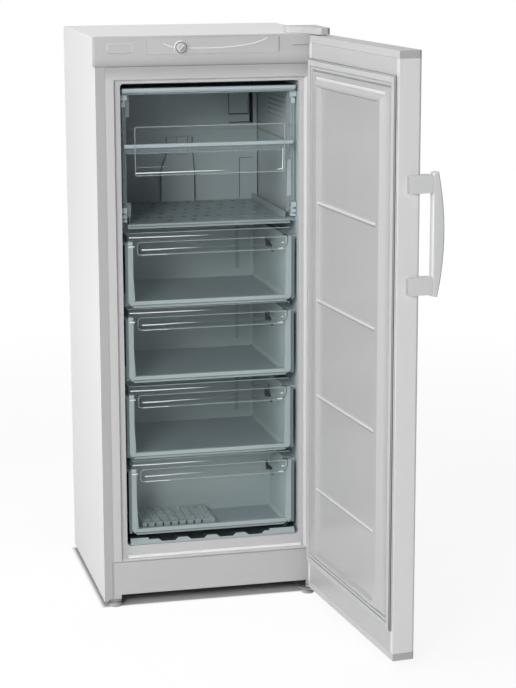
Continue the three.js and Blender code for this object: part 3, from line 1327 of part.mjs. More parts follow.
// Rubber grommets, two on each strip, left and right of the compressor.
function compressorMounts() {
  const seat = railHeight + railThickness;
  for (const [name, side] of [['compressor_mount_left', -1], ['compressor_mount_right', 1]]) {
    const grommets = mountPoints().filter(([x]) => x * side > 0).map(([x, y]) => turned([[0, gap], [9, gap],
      [9, 5], [6.5, 7], [9, 9], [9, grommetHeight - gap], [4, grommetHeight - gap],
      [4, grommetHeight + 7], [0, grommetHeight + 7]], 9)
      .translate(compressorX + x, compressorY + y, seat));
    const x = compressorX + side * mountReachX;
    const strip = block(x - 5, x + 5, compressorY - mountReachY, compressorY + mountReachY, seat + gap, seat + 3);
    add(cabinet, name, 'blackRubber', join(strip, ...grommets));
  }
}

function terminalBox() {
  const x0 = compressorX + compressorRadius * compressorStretch + 5;
  const body = block(x0, x0 + 46, compressorY - 34, compressorY + 34, compressorBase + 34, compressorBase + 112);
  const lid = block(x0 + 44, x0 + 48, compressorY - 30, compressorY + 30, compressorBase + 38, compressorBase + 108);
  const inlet = rodZ(x0 + 24, compressorY + 14, compressorBase + 20, compressorBase + 40, 8, 12);
  const bore = rodZ(x0 + 24, compressorY + 14, compressorBase + 10, compressorBase + 36, 4, 12);
  const yoke = block(x0 - 5 + gap, x0 + 1, compressorY - 12, compressorY + 12,
    compressorBase + 38, compressorBase + compressorHeight * 0.4);
  add(cabinet, 'terminal_box', 'blackPlastic', cut(join(body, lid, inlet, yoke), bore));
}

function evaporationTray() {
  const w = 96;
  const body = (grow, z0) => {
    const points = [];
    for (const [a, b, z] of [[w - 14 - grow, 52 - grow, z0], [w - grow, 62 - grow, evapTrayZ + 30 + grow]]) {
      for (const [u, v] of [[-1, -1], [1, -1], [1, 1], [-1, 1]]) points.push(new THREE.Vector3(u * a, v * b, z));
    }
    return new ConvexGeometry(points);
  };
  const shell = cut(body(0, evapTrayZ), body(trayWall, evapTrayZ + trayWall));
  const legs = rodZ(0, 0, evapTrayZ - 8 + gap, evapTrayZ + 1, 20, 16);
  add(cabinet, 'evaporation_tray', 'blackPlastic', join(shell, legs).translate(compressorX, compressorY, 0));
}

function drainTube() {
  const x = compressorX + 40;
  const y = compressorY + 18;
  const top = nicheTop - panThickness - 2 * gap;
  const pipe = tube([[x, y, top - 1], [x, y, evapTrayZ + 22]], 5, 6, 10);
  add(cabinet, 'drain_tube', 'greyPlastic', join(pipe, rodZ(x, y, top - 4, top, 11, 12)));
}

const condenserY = cabinetDepth + condenserStandoff;
const condenserPitch = (condenserTop - condenserBottom - 40) / (condenserRuns - 1);
const condenserFirst = condenserBottom + 20;

// Serpentine tube with upright wires; the first and last runs stand against the wires.
function condenser() {
  const route = [];
  for (let i = 0; i < condenserRuns; i += 1) {
    const z = condenserFirst + i * condenserPitch;
    const y = i === 0 || i === condenserRuns - 1 ? condenserY + 2 * gap : condenserY;
    const ends = i % 2 ? [1, -1] : [-1, 1];
    route.push([ends[0] * condenserHalfWidth, y, z], [ends[1] * condenserHalfWidth, y, z]);
  }
  const parts = [tube(route, 14, condenserTube, 5, 2)];
  const y = condenserY + condenserTube + gap;
  for (let i = 0; i < condenserWires; i += 1) {
    const x = -condenserHalfWidth + 26 + i * ((2 * condenserHalfWidth - 52) / (condenserWires - 1));
    parts.push(block(x - wireSize / 2, x + wireSize / 2, y, y + wireSize, condenserBottom, condenserTop));
  }
  add(cabinet, 'condenser', 'blackPaint', join(...parts));
}

const bracketX = 1.5 * beadPitch;
// Two upright strips with clips round the tube, tied by a cross bar.
function condenserBrackets() {
  const parts = [];
  const face = condenserY - condenserTube - gap;
  const rows = [2, condenserRuns - 3];
  const reach = (row) => condenserFirst + row * condenserPitch;
  for (const side of [-1, 1]) {
    const [xa, xb] = [side * bracketX - 7, side * bracketX + 7];
    parts.push(block(xa, xb, panelBack + gap, panelBack + 4, reach(rows[0]) - 14, reach(rows[1]) + 14));
    for (const row of rows) {
      const z = reach(row);
      parts.push(block(xa, xb, panelBack + 1, face, z - 10, z + 10));
      for (const lip of [-1, 1]) {
        parts.push(block(xa, xb, face - 1, condenserY + condenserTube - 2 * gap, z + lip * 6 - 2.6, z + lip * 6 + 2.6));
      }
    }
  }
  const z = reach(rows[1]) + 2;
  parts.push(block(-bracketX, bracketX, panelBack + beadRise + gap, panelBack + beadRise + 4, z, z + 12));
  add(cabinet, 'condenser_brackets', 'blackPlastic', join(...parts));
}

function refrigerantLines() {
  const top = compressorBase + compressorHeight * 0.55;
  const side = compressorX - compressorRadius * compressorStretch;
  const out = side - 30;
  const edge = -condenserHalfWidth - 12;
  const discharge = tube([[side - 3, compressorY, top], [out, compressorY, top],
    [out, cabinetDepth - 24, top], [edge, condenserY, top + 90],
    [edge, condenserY, condenserFirst], [-condenserHalfWidth - gap, condenserY, condenserFirst]], 9, 2.5);
  const suction = tube([[side - 3, compressorY + 26, top - 20], [out + 9, compressorY + 26, top - 20],
    [out + 9, compressorY + 26, nicheTop - panThickness - gap * 3]], 9, 3);
  const clip = block(out - 5, out + 15, compressorY + 22, compressorY + 30, top - 4, top + 4);
  add(cabinet, 'refrigerant_lines', 'copper', join(discharge, suction, clip));
}

function filterDryer() {
  const can = turned([[0, 0], [3, 0], [3, 10], [9, 22], [9, 92], [3, 104], [3, 116], [0, 116]], 14);
  can.translate(190, cabinetDepth - 40, railHeight + railThickness + gap);
  add(cabinet, 'filter_dryer', 'copper', can);
}

// ---- build --------------------------------------------------------------------------------------
outerCase();
rearPanel();
innerLiner();
insulationFoam();
controlFascia();
fasciaInsert();
thermostatBody();
thermostatKnob();
baseFrame();
plinth();
levellingFoot('foot_left', footLeftX, footLeftY, legBottom - gap);
levellingFoot('foot_right', footRightX, footRightY, legBottom + 3);
rearFeet();
bottomHinge();
topHinge();
topHingeCover();
doorSkin();
doorCaps();
hingeBushes();
doorLinerAndFoam();
doorGasket();
handleBow();
handleFeet();
ceilingDuct();
sideRails();
shelfFlap();
shelfOne();
shelfTwo();
floorVent();
drawers.forEach((drawer, i) => {
  drawerTub(i + 1, drawer);
  drawerPane(i + 1, drawer);
});
iceTray();
evaporatorCover();
evaporator();
fanAndMotor();
compressor();
compressorMounts();
terminalBox();
evaporationTray();
drainTube();
condenser();
condenserBrackets();
refrigerantLines();
filterDryer();

export default freezer;
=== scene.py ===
import bpy
import bmesh
import json
import math
from mathutils import Matrix, Vector

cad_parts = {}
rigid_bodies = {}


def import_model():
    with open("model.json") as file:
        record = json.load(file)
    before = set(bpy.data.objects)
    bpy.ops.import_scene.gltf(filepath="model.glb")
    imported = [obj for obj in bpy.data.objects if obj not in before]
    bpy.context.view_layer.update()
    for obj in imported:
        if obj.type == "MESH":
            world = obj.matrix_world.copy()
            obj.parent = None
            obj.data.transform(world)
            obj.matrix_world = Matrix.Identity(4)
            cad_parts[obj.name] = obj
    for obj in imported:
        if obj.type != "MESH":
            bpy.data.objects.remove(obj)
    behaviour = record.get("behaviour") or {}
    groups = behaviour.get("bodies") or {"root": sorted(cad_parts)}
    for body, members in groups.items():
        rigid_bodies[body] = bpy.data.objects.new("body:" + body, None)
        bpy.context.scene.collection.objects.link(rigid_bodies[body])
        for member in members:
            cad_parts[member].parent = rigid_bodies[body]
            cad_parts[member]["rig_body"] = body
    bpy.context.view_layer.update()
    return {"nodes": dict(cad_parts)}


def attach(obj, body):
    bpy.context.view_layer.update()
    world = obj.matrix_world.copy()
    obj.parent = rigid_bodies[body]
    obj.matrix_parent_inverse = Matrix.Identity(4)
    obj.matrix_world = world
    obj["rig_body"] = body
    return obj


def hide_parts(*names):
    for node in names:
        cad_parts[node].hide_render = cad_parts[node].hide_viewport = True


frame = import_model()
nodes = frame["nodes"]
scene = bpy.context.scene

mm = 0.001
# cabinet coordinates, as in the solids: x from the middle of the cabinet, y from its front plane
cabinetShift = Vector((0.271, -0.005, 0.0))


def place(x, y, z):
    return Vector((x * mm, y * mm, z * mm)) + cabinetShift


# the photograph's viewpoint, fitted to the corners of cabinet and door
camera = {
    "at": (-1127.8, -5132.5, 1823.1),
    "turn": 13.733,      # degrees to the right of straight on
    "tilt": 12.222,      # degrees down
    "roll": -0.139,
    "lens": 107.19,
    "sensor": 36,
    "shift": (-0.00326, 0.00722),
    "sight": 60,         # metres
}


def makeCamera():
    data = bpy.data.cameras.new("photoCamera")
    data.lens = camera["lens"]
    data.sensor_width = camera["sensor"]
    data.sensor_fit = "AUTO"
    data.shift_x, data.shift_y = camera["shift"]
    data.clip_end = camera["sight"]
    item = bpy.data.objects.new("photoCamera", data)
    scene.collection.objects.link(item)
    turn = Matrix.Rotation(math.radians(-camera["turn"]), 4, "Z")
    tilt = Matrix.Rotation(math.radians(90 - camera["tilt"]), 4, "X")
    roll = Matrix.Rotation(math.radians(camera["roll"]), 4, "Z")
    item.matrix_world = Matrix.Translation(place(*camera["at"])) @ turn @ tilt @ roll
    scene.camera = item


makeCamera()
print("camera set")


# sRGB hex to the linear colour that the shaders take
def linear(hexCode):
    values = [int(hexCode[i:i + 2], 16) / 255 for i in (1, 3, 5)]
    return [v / 12.92 if v <= 0.04045 else ((v + 0.055) / 1.055) ** 2.4 for v in values] + [1.0]


def addNode(tree, kind, settings=None, links=None):
    node = tree.nodes.new(kind)
    for key, value in (settings or {}).items():
        if isinstance(key, int) or key in node.inputs:
            node.inputs[key].default_value = value
        else:
            setattr(node, key, value)
    for key, source in (links or {}).items():
        tree.links.new(source, node.inputs[key])
    return node


def emptyTree(owner):
    owner.use_nodes = True
    owner.node_tree.nodes.clear()
    return owner.node_tree


def startMaterial(name, shader):
    material = bpy.data.materials.new(name)
    tree = emptyTree(material)
    surface = addNode(tree, "ShaderNodeBsdfPrincipled", shader)
    addNode(tree, "ShaderNodeOutputMaterial", None, {"Surface": surface.outputs[0]})
    where = addNode(tree, "ShaderNodeTexCoord").outputs["Object"]
    return material, tree, surface, where


# a pattern from 0 to 1 as a colour between two hex values
def tintedBy(tree, pattern, low, high):
    ramp = addNode(tree, "ShaderNodeValToRGB", None, {"Fac": pattern})
    ramp.color_ramp.elements[0].color = linear(low)
    ramp.color_ramp.elements[1].color = linear(high)
    return ramp.outputs["Color"]


# scales a colour along the height or another axis, for painted shade or painted light: from one place in
# metres to another, it goes to a share
def dimmedBy(tree, where, colour, start, end, share, axis="Z"):
    along = addNode(tree, "ShaderNodeSeparateXYZ", None, {"Vector": where}).outputs[axis]
    limits = {"From Min": start, "From Max": end, "To Min": 1.0, "To Max": share}
    dim = addNode(tree, "ShaderNodeMapRange", limits, {"Value": along}).outputs[0]
    return addNode(tree, "ShaderNodeVectorMath", {"operation": "SCALE"}, {0: colour, "Scale": dim}).outputs[0]


# lays a colour and a fine relief, its depth in metres, on a surface
def coverWith(tree, surface, colour, height, strength, depth):
    tree.links.new(colour, surface.inputs["Base Color"])
    bump = addNode(tree, "ShaderNodeBump", {"Strength": strength, "Distance": depth}, {"Height": height})
    tree.links.new(bump.outputs["Normal"], surface.inputs["Normal"])


# powder-coated enamel: an even orange peel about 2 mm across under a clear gloss
def bakedEnamel(name, low, high, fade=None):
    shader = {"Roughness": 0.34, "IOR": 1.5, "Coat Weight": 0.25, "Coat Roughness": 0.12}
    material, tree, surface, where = startMaterial(name, shader)
    peel = addNode(tree, "ShaderNodeTexNoise", {"Scale": 420, "Detail": 2, "Roughness": 0.5},
                   {"Vector": where})
    cloud = addNode(tree, "ShaderNodeTexNoise", {"Scale": 2.6, "Detail": 3, "Roughness": 0.55},
                    {"Vector": where})
    colour = tintedBy(tree, cloud.outputs["Fac"], low, high)
    if fade:
        colour = dimmedBy(tree, where, colour, *fade)
    coverWith(tree, surface, colour, peel.outputs["Fac"], 0.05, 0.0004)
    return material


# moulded plastic: a soft uneven sheen over a spark-eroded grain, which is really finer than the 1 to 2 mm
# that it is drawn with so that it shows
def mouldedPlastic(name, low, high, roughness, grain=900, depth=0.06, fade=None):
    material, tree, surface, where = startMaterial(name, {"Roughness": roughness, "IOR": 1.49})
    grainNoise = addNode(tree, "ShaderNodeTexNoise", {"Scale": grain, "Detail": 2}, {"Vector": where})
    cloud = addNode(tree, "ShaderNodeTexNoise", {"Scale": 6, "Detail": 4, "Roughness": 0.6},
                    {"Vector": where})
    colour = tintedBy(tree, cloud.outputs["Fac"], low, high)
    if fade:
        colour = dimmedBy(tree, where, colour, *fade)
    coverWith(tree, surface, colour, grainNoise.outputs["Fac"], depth, 0.0003)
    return material


# clear polystyrene: mostly see-through, slightly grey, with flow marks from the mould
def clearPolystyrene(name, low, high, alpha, roughness=0.12):
    shader = {"Roughness": roughness, "IOR": 1.57, "Alpha": alpha}
    material, tree, surface, where = startMaterial(name, shader)
    flow = addNode(tree, "ShaderNodeTexNoise", {"Scale": 7, "Detail": 3, "Distortion": 1.2},
                   {"Vector": where}).outputs["Fac"]
    coverWith(tree, surface, tintedBy(tree, flow, low, high), flow, 0.1, 0.0008)
    return material


# zinc-plated sheet: crystal patches about 8 mm wide, each with its own brightness
def platedZinc(name, low, high, roughness=0.42):
    material, tree, surface, where = startMaterial(name, {"Metallic": 1.0, "Roughness": roughness})
    patches = addNode(tree, "ShaderNodeTexVoronoi", {"Scale": 120}, {"Vector": where})
    shade = addNode(tree, "ShaderNodeSeparateColor", None, {"Color": patches.outputs["Color"]})
    coverWith(tree, surface, tintedBy(tree, shade.outputs["Red"], low, high), shade.outputs["Green"],
              0.08, 0.0003)
    return material


# drawn metal: fine upright streaks about 1 mm wide, coarser than real ones so that they show
def drawnMetal(name, low, high, roughness):
    material, tree, surface, where = startMaterial(name, {"Metallic": 1.0, "Roughness": roughness})
    stretch = addNode(tree, "ShaderNodeMapping", {"Scale": (900, 900, 40)}, {"Vector": where})
    streaks = addNode(tree, "ShaderNodeTexNoise", {"Scale": 1.0, "Detail": 2},
                      {"Vector": stretch.outputs[0]}).outputs["Fac"]
    coverWith(tree, surface, tintedBy(tree, streaks, low, high), streaks, 0.06, 0.0002)
    return material


# enamel: an even, softly glossy white; painted shade darkens the case towards its foot,
# and the greyer copies on the case's front flange and the door's folded flange are painted shade
caseEnamel = bakedEnamel("white baked enamel", "#ebebeb", "#efefef", (0.75, 0.05, 0.76))
doorEnamel = bakedEnamel("white baked enamel of the door", "#ebebeb", "#efefef")
shadedFlangeEnamel = bakedEnamel("enamel of the front flange with painted shade", "#aeaeae", "#b4b4b4")
shadedMarginEnamel = bakedEnamel("enamel of the folded flange with painted shade", "#d2d2d2", "#d8d8d8")
blackLacquer = bakedEnamel("black stoved lacquer", "#101112", "#17181a")  # dark, with a soft highlight

# ABS: a satin white, most of it greyer than the enamel; painted shade darkens the fascia towards its lower
# fold, and the greyer cheeks of the handle's feet and the knob's lower right half are painted shade
fasciaAbs = mouldedPlastic("white ABS moulding", "#bbbbbb", "#c1c1c1", 0.42, fade=(1.448, 1.427, 0.8))
coverAbs = mouldedPlastic("white ABS hinge cover", "#b9b9b9", "#bfbfbf", 0.4)
capAbs = mouldedPlastic("white ABS door cap", "#bcbcbc", "#c1c1c1", 0.4)
insertAbs = mouldedPlastic("satin ABS panel", "#bfbfbf", "#c4c4c4", 0.3)
plinthAbs = mouldedPlastic("white ABS kickplate", "#bdbdbd", "#c3c3c3", 0.45)
handleAbs = mouldedPlastic("satin ABS handle", "#e0e1e1", "#e6e7e7", 0.36)
shadedAbs = mouldedPlastic("shaded cheek of the handle's foot", "#9c9c9c", "#a2a2a2", 0.5)

# vacuum-formed polystyrene: soft edges and a low sheen, neutral on the door; the cavity's cool, darker copy
# of the liner is painted shade, as is the frame's darker head, and the door panel's lighter top edge is
# painted light
framePolystyrene = mouldedPlastic("vacuum-formed liner frame", "#c4c4c4", "#cacaca", 0.4, 500, 0.04,
                                  (1.388, 1.418, 0.72))
shadedCavityPolystyrene = mouldedPlastic("vacuum-formed cavity wall", "#a9b4b6", "#b2bcbe", 0.36, 500, 0.04)
doorPolystyrene = mouldedPlastic("vacuum-formed door panel", "#b1b0b0", "#b7b6b6", 0.26, 500, 0.05,
                                 (1.436, 1.444, 1.09))
# beads on the door panel: the ridge and ribs carry painted highlights, the soft hollow painted shade
softGlint = mouldedPlastic("painted highlight on the door panel's ridge", "#cfcfcf", "#d6d6d6", 0.3, 700, 0.02)
ribGlint = mouldedPlastic("painted highlight on the door panel's ribs", "#cfcfcf", "#d6d6d6", 0.28, 700, 0.02)
paintedSoftShade = mouldedPlastic("painted soft shade of the door panel", "#9d9c9c", "#a3a2a2", 0.4, 700, 0.02)

# SAN and polystyrene mouldings that look solid: blue-grey and smooth; painted shade darkens the left half of
# the duct moulding on the rear wall and the floors of the tubs, and the polished bead's white is painted
# highlight
frostedSan = mouldedPlastic("blue-grey SAN moulding", "#aebcc0", "#b8c6ca", 0.25, 700, 0.04)
wallSan = mouldedPlastic("rear duct moulding", "#a9b6b8", "#b2bec0", 0.3, 700, 0.04,
                         (0.23, 0.045, 0.42, "X"))
tubSan = mouldedPlastic("drawer tub moulding", "#a2b0b1", "#acb9ba", 0.25, 700, 0.04)
tubFloorSan = mouldedPlastic("drawer floor moulding", "#87969a", "#919fa3", 0.3, 700, 0.04)
flangeSan = mouldedPlastic("shaded SAN flange", "#6c7b7f", "#78878b", 0.3, 700, 0.04)
ventSan = mouldedPlastic("floor vent moulding", "#a0abae", "#a9b4b6", 0.35, 700, 0.04)
gridSan = mouldedPlastic("slotted shelf moulding", "#8a979a", "#96a3a6", 0.28, 700, 0.04)
traySan = mouldedPlastic("ice tray moulding", "#8f9c9e", "#9ba8aa", 0.3, 700, 0.04)
glintSan = mouldedPlastic("polystyrene bead with painted highlight", "#eaf1f2", "#f6fafa", 0.12, 700, 0.02)

# clear polystyrene: the panes nearly vanish; the lighter rims are painted highlight for the light they
# gather, and the dark edge seen end-on is painted shade
clearSan = clearPolystyrene("clear drawer polystyrene", "#98a8ab", "#a6b5b8", 0.06)
paneSan = clearPolystyrene("clear flap polystyrene", "#98a8ab", "#a6b5b8", 0.03)
railSan = clearPolystyrene("half-clear SAN rail", "#8a999d", "#98a6aa", 0.42, 0.2)
brightSan = clearPolystyrene("light-gathering edge of clear polystyrene", "#b9c6c9", "#c8d4d7", 0.5, 0.08)
edgeSan = clearPolystyrene("clear polystyrene rim", "#b4c3c6", "#c6d3d6", 0.6, 0.08)
darkEdgeSan = clearPolystyrene("clear polystyrene seen edge-on", "#2c393b", "#3c4a4c", 0.8, 0.1)

# narrow openings, joints and raised lines: painted shade in slots, openings and louvre beds, dark joints and
# grooves that also carry painted shade, and one white of painted highlight
slotShade = mouldedPlastic("unlit slot", "#20292b", "#2a3436", 0.7)
louvreShade = mouldedPlastic("shaded louvre bed", "#4f5c5f", "#5a676a", 0.6)
jointShade = mouldedPlastic("shaded joint line", "#424e51", "#4c585b", 0.6)
greyGroove = mouldedPlastic("shaded groove", "#7f7f7f", "#898989", 0.6)
darkGroove = mouldedPlastic("deep shaded groove", "#626262", "#6c6c6c", 0.6)
whiteGlint = mouldedPlastic("raised line with painted highlight", "#ececec", "#f2f2f2", 0.25, 700, 0.02)

# gasket and hidden parts: matt soft PVC, dull nylon and rubber, bright metals and yellowish cut foam
gasketPvc = mouldedPlastic("soft PVC gasket", "#b6b7b8", "#bfc0c1", 0.6, 600, 0.1)
greyNylon = mouldedPlastic("grey nylon", "#9c9fa0", "#a6a9aa", 0.5)
blackNylon = mouldedPlastic("black glass-filled nylon", "#17191a", "#202223", 0.55, 700, 0.12)
blackRubber = mouldedPlastic("black rubber", "#141414", "#1d1d1d", 0.8, 500, 0.15)
zincSheet = platedZinc("zinc-plated sheet", "#a2a5a6", "#b6b9ba")
copperPipe = drawnMetal("drawn copper", "#b06a48", "#c27b58", 0.32)
coilAluminium = drawnMetal("mill-finish aluminium", "#b8bbbd", "#c8cbcc", 0.35)
cutFoam = mouldedPlastic("cut polyurethane foam", "#dccf9c", "#e6dbab", 0.9, 260, 0.4)
print("materials made")


# which faces of a node take a further material: the ranges that a face's middle lies in, x, y and z in
# cabinet millimetres and side for the distance from the cabinet's middle, with facing for a part of its
# normal and tilt for that part's size; one fitting set of ranges in a list is enough
far = 9999   # the open end of a range
faceRanges = {
    "insideCavity": [{"y": (8, far), "side": (-far, 235), "z": (158, 1384)}],
    "frontFlange": [{"y": (-far, 2), "facingY": (-far, -0.9)}],
    "footCheek": [{"facingX": (-far, -0.6)}],
    "doorFlange": [{"facingX": (-far, -0.9)}],
    "louvreBed": [{"x": (231.8, far), "y": (150, 320), "z": (1260, 1332), "facingX": (-far, -0.9)}],
    "slotWall": [{"y": (60, far), "side": (-far, 204), "z": (1014.8, 1018.2), "tiltZ": (-far, 0.5)}],
    "slotRim": [{"y": (60, far), "side": (-far, 204), "z": (1017.7, 1018.3)}],
    "ventThroat": [{"y": (22.5, far), "z": (164, far)},
                   {"y": (14, far), "side": (-far, 180), "tiltX": (0.5, far)}],
    "railBlock": [{"side": (218.6, far), "z": (1318, far)}, {"side": (218.6, far), "z": (-far, 1063)}],
    "trimWeb": [{"z": (-far, 1216.2)}],
    "ductLip": [{"y": (-far, 30), "z": (-far, 1357.5)}],
    "ductTop": [{"y": (24, far), "z": (1362, far)}],
    "ductSlot": [{"y": (428, far), "side": (-far, 215), "z": (-far, 815), "tiltY": (-far, 0.5)},
                 {"y": (428, far), "side": (185, 215), "tiltY": (-far, 0.5)}],
    "cupNotch": [{"x": (-180, 8), "y": (-far, 50), "facingZ": (-far, -0.3)},
                 {"x": (-180, 8), "y": (-far, 50), "tiltX": (0.3, far)}],
}


def inRange(ranges, middle, normal=Vector()):
    at = (middle - cabinetShift) / mm
    seen = {"x": at.x, "y": at.y, "z": at.z, "side": abs(at.x)}
    for axis, part in zip("XYZ", normal):
        seen["facing" + axis] = part
        seen["tilt" + axis] = abs(part)
    return any(all(low < seen[key] < high for key, (low, high) in limits.items()) for limits in ranges)


rounding = {
    "weld": 0.00002,     # metres between points that are one
    "flat": 0.6,         # degrees between faces that become one
    "sharp": 32,         # degrees from which an edge is rounded
    "crease": 38,        # degrees from which an edge stays hard in the shading
}


# merges a copy of a solid, rounds its sharp edges and gives faces their materials
def finishNode(name, look):
    node = nodes[name]
    node.data.materials.clear()
    node.data.materials.append(look["finish"])
    mesh = node.data.copy()
    faces = look.get("faces", {})
    rim = look.get("rim")
    layers = list(faces)
    if rim and rim not in layers:
        layers.append(rim)
    for layer in layers:
        mesh.materials.append(layer)
    shape = bmesh.new()
    shape.from_mesh(mesh)
    bmesh.ops.remove_doubles(shape, verts=shape.verts, dist=rounding["weld"])
    bmesh.ops.dissolve_limit(shape, angle_limit=math.radians(rounding["flat"]), verts=shape.verts,
                             edges=shape.edges)
    wide = [face for face in shape.faces if len(face.verts) > 4]
    bmesh.ops.triangulate(shape, faces=wide, quad_method="BEAUTY", ngon_method="EAR_CLIP")
    for slot, ranges in enumerate(faces.values(), 1):
        for face in shape.faces:
            if inRange(ranges, face.calc_center_median(), face.normal):
                face.material_index = slot
    if look["edge"]:
        sharp = [line for line in shape.edges if len(line.link_faces) == 2
                 and line.calc_face_angle(0) > math.radians(rounding["sharp"])
                 and inRange(look.get("rimAt", [{}]), (line.verts[0].co + line.verts[1].co) / 2)]
        made = bmesh.ops.bevel(shape, geom=sharp, offset=look["edge"] * mm, offset_type="OFFSET", segments=2,
                               affect="EDGES", profile=0.5, clamp_overlap=True, material=-1)
        if rim:
            for face in made["faces"]:
                face.material_index = layers.index(rim) + 1
    for face in shape.faces:
        face.smooth = True
    for line in shape.edges:
        if len(line.link_faces) == 2 and line.calc_face_angle(0) > math.radians(rounding["crease"]):
            line.smooth = False
    shape.to_mesh(mesh)
    shape.free()
    piece = bpy.data.objects.new(name + "Finished", mesh)
    scene.collection.objects.link(piece)
    normals = piece.modifiers.new("flatFaces", "WEIGHTED_NORMAL")
    normals.keep_sharp = True
    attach(piece, node["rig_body"])
    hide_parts(name)
    return piece


# finish, edge rounding in mm and the nodes that take them
nodeFinishes = [
    (zincSheet, 0.4, "rear_panel base_frame top_hinge_bracket bottom_hinge_bracket"),
    (fasciaAbs, 1.0, "control_fascia"),
    (capAbs, 0.8, "door_cap_top door_cap_bottom"),
    (coverAbs, 0.8, "top_hinge_cover"),
    (insertAbs, 0.4, "fascia_insert thermostat_knob"),
    (plinthAbs, 1.0, "plinth"),
    (handleAbs, 0.8, "handle_bow handle_foot_upper handle_foot_lower"),
    (doorPolystyrene, 0.8, "door_liner"),
    (gasketPvc, 0.4, "door_gasket"),
    (greyNylon, 0.6, "foot_left foot_right thermostat"),
    (greyNylon, 0, "drain_tube hinge_bush_top hinge_bush_bottom"),
    (blackNylon, 0.5, "rear_foot_left rear_foot_right terminal_box condenser_brackets"),
    (blackNylon, 0.5, "evaporation_tray fan_motor"),
    (blackNylon, 0, "evaporator_fan"),
    (blackRubber, 0.5, "compressor_mount_left compressor_mount_right"),
    (blackLacquer, 0.8, "compressor"),
    (blackLacquer, 0, "condenser"),
    (copperPipe, 0, "filter_dryer refrigerant_lines"),
    (coilAluminium, 0, "evaporator"),
    (cutFoam, 0, "insulation_foam door_foam"),
    (caseEnamel, 0.35, "outer_case"),
    (doorEnamel, 0.35, "door_skin"),
    (framePolystyrene, 0.8, "inner_liner"),
    (wallSan, 0.5, "evaporator_cover"),
    (frostedSan, 0.5, "ceiling_air_duct shelf_1_trim"),
    (railSan, 0.5, "side_rail_left side_rail_right"),
    (ventSan, 0.4, "floor_vent"),
    (gridSan, 1.0, "shelf_2"),
    (traySan, 0, "ice_tray"),
    (paneSan, 0.5, "shelf_1"),
    (paneSan, 0.8, "shelf_flap"),
]
# further materials of a node and the faces that take them; the flanges' greyer enamel, the cavity's copy of
# the liner, the feet's cheeks and the unlit slots and louvre beds are painted shade
facedNodes = {
    "outer_case": {shadedFlangeEnamel: "frontFlange"},
    "handle_foot_upper": {shadedAbs: "footCheek"},
    "handle_foot_lower": {shadedAbs: "footCheek"},
    "door_skin": {shadedMarginEnamel: "doorFlange"},
    "inner_liner": {shadedCavityPolystyrene: "insideCavity", louvreShade: "louvreBed"},
    "evaporator_cover": {slotShade: "ductSlot"},
    "ceiling_air_duct": {slotShade: "ductTop", railSan: "ductLip"},
    "side_rail_left": {frostedSan: "railBlock"},
    "side_rail_right": {frostedSan: "railBlock"},
    "shelf_1_trim": {railSan: "trimWeb"},
    "floor_vent": {slotShade: "ventThroat"},
    "shelf_2": {slotShade: "slotWall"},
    "ice_tray": {slotShade: "cupNotch"},
}
# foot, height and sideways shift of each drawer
drawerRows = ((799, 196, 0), (599, 197, -1.5), (392, 196, -3), (183, 203, 0))
# faces of a tub that look up are its floor, up to this height over its foot and from this y to the back;
# they take the darker floor copy, painted shade
tubFloor = {"height": 40, "front": 36}


def makeFinishes():
    finishes = {}
    for finish, edge, names in nodeFinishes:
        for name in names.split():
            finishes[name] = {"finish": finish, "edge": edge}
    for name, layers in facedNodes.items():
        finishes[name]["faces"] = {layer: faceRanges[key] for layer, key in layers.items()}
    # the rounded edges of the clear shelves and drawer fronts take a painted highlight, those round the
    # grid's slots painted shade
    finishes["shelf_1"]["rim"] = brightSan
    finishes["shelf_flap"]["rim"] = brightSan
    finishes["shelf_2"].update({"rim": slotShade, "rimAt": faceRanges["slotRim"]})
    for index, (foot, _, _) in enumerate(drawerRows, 1):
        floor = {"y": (tubFloor["front"], far), "z": (-far, foot + tubFloor["height"]), "facingZ": (0.9, far)}
        finishes[f"drawer_{index}_tub"] = {"finish": tubSan, "edge": 0.6, "faces": {tubFloorSan: [floor]}}
        finishes[f"drawer_{index}_front"] = {"finish": clearSan, "edge": 0.8, "rim": brightSan}
    return finishes


for nodeName, nodeLook in makeFinishes().items():
    finishNode(nodeName, nodeLook)
print("solids finished")


# a bead of plastic along a route in cabinet millimetres, thinner where a share says so;
# most carry a painted highlight, painted shade or a dark joint
def beadAlong(name, body, material, radius, route, shares=None, closed=False):
    data = bpy.data.curves.new(name, "CURVE")
    data.dimensions = "3D"
    data.bevel_depth = radius * mm
    data.bevel_resolution = 2
    data.use_fill_caps = True
    line = data.splines.new("POLY")
    line.points.add(len(route) - 1)
    line.use_cyclic_u = closed
    for i, (point, target) in enumerate(zip(line.points, route)):
        point.co = (*place(*target), 1.0)
        point.radius = shares[i] if shares else 1.0
    data.materials.append(material)
    piece = bpy.data.objects.new(name, data)
    scene.collection.objects.link(piece)
    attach(piece, body)
    return piece


# beads from a table of material, radius, y, route in (x, z) and, where a bead thins out, its shares
def beadTable(prefix, body, table, origin=(0, 0, 0)):
    ox, oy, oz = origin
    for name, (material, radius, y, route, *shares) in table.items():
        points = [(x + ox, y + oy, z + oz) for x, z in route]
        beadAlong(prefix + name, body, material, radius, points, *shares)


# a rounded rectangle in a plane of constant y, as a route from its lower left corner
def roundedRoute(x0, x1, z0, z1, y, radius, steps=4):
    route = []
    for cx, cz, start in ((x0 + radius, z0 + radius, 180), (x1 - radius, z0 + radius, 270),
                          (x1 - radius, z1 - radius, 0), (x0 + radius, z1 - radius, 90)):
        for step in range(steps + 1):
            angle = math.radians(start + 90 * step / steps)
            route.append((cx + radius * math.cos(angle), y, cz + radius * math.sin(angle)))
    return route


def boxOutline(x0, x1, z0, z1):
    return [(x0, z0), (x1, z0), (x1, z1), (x0, z1)]


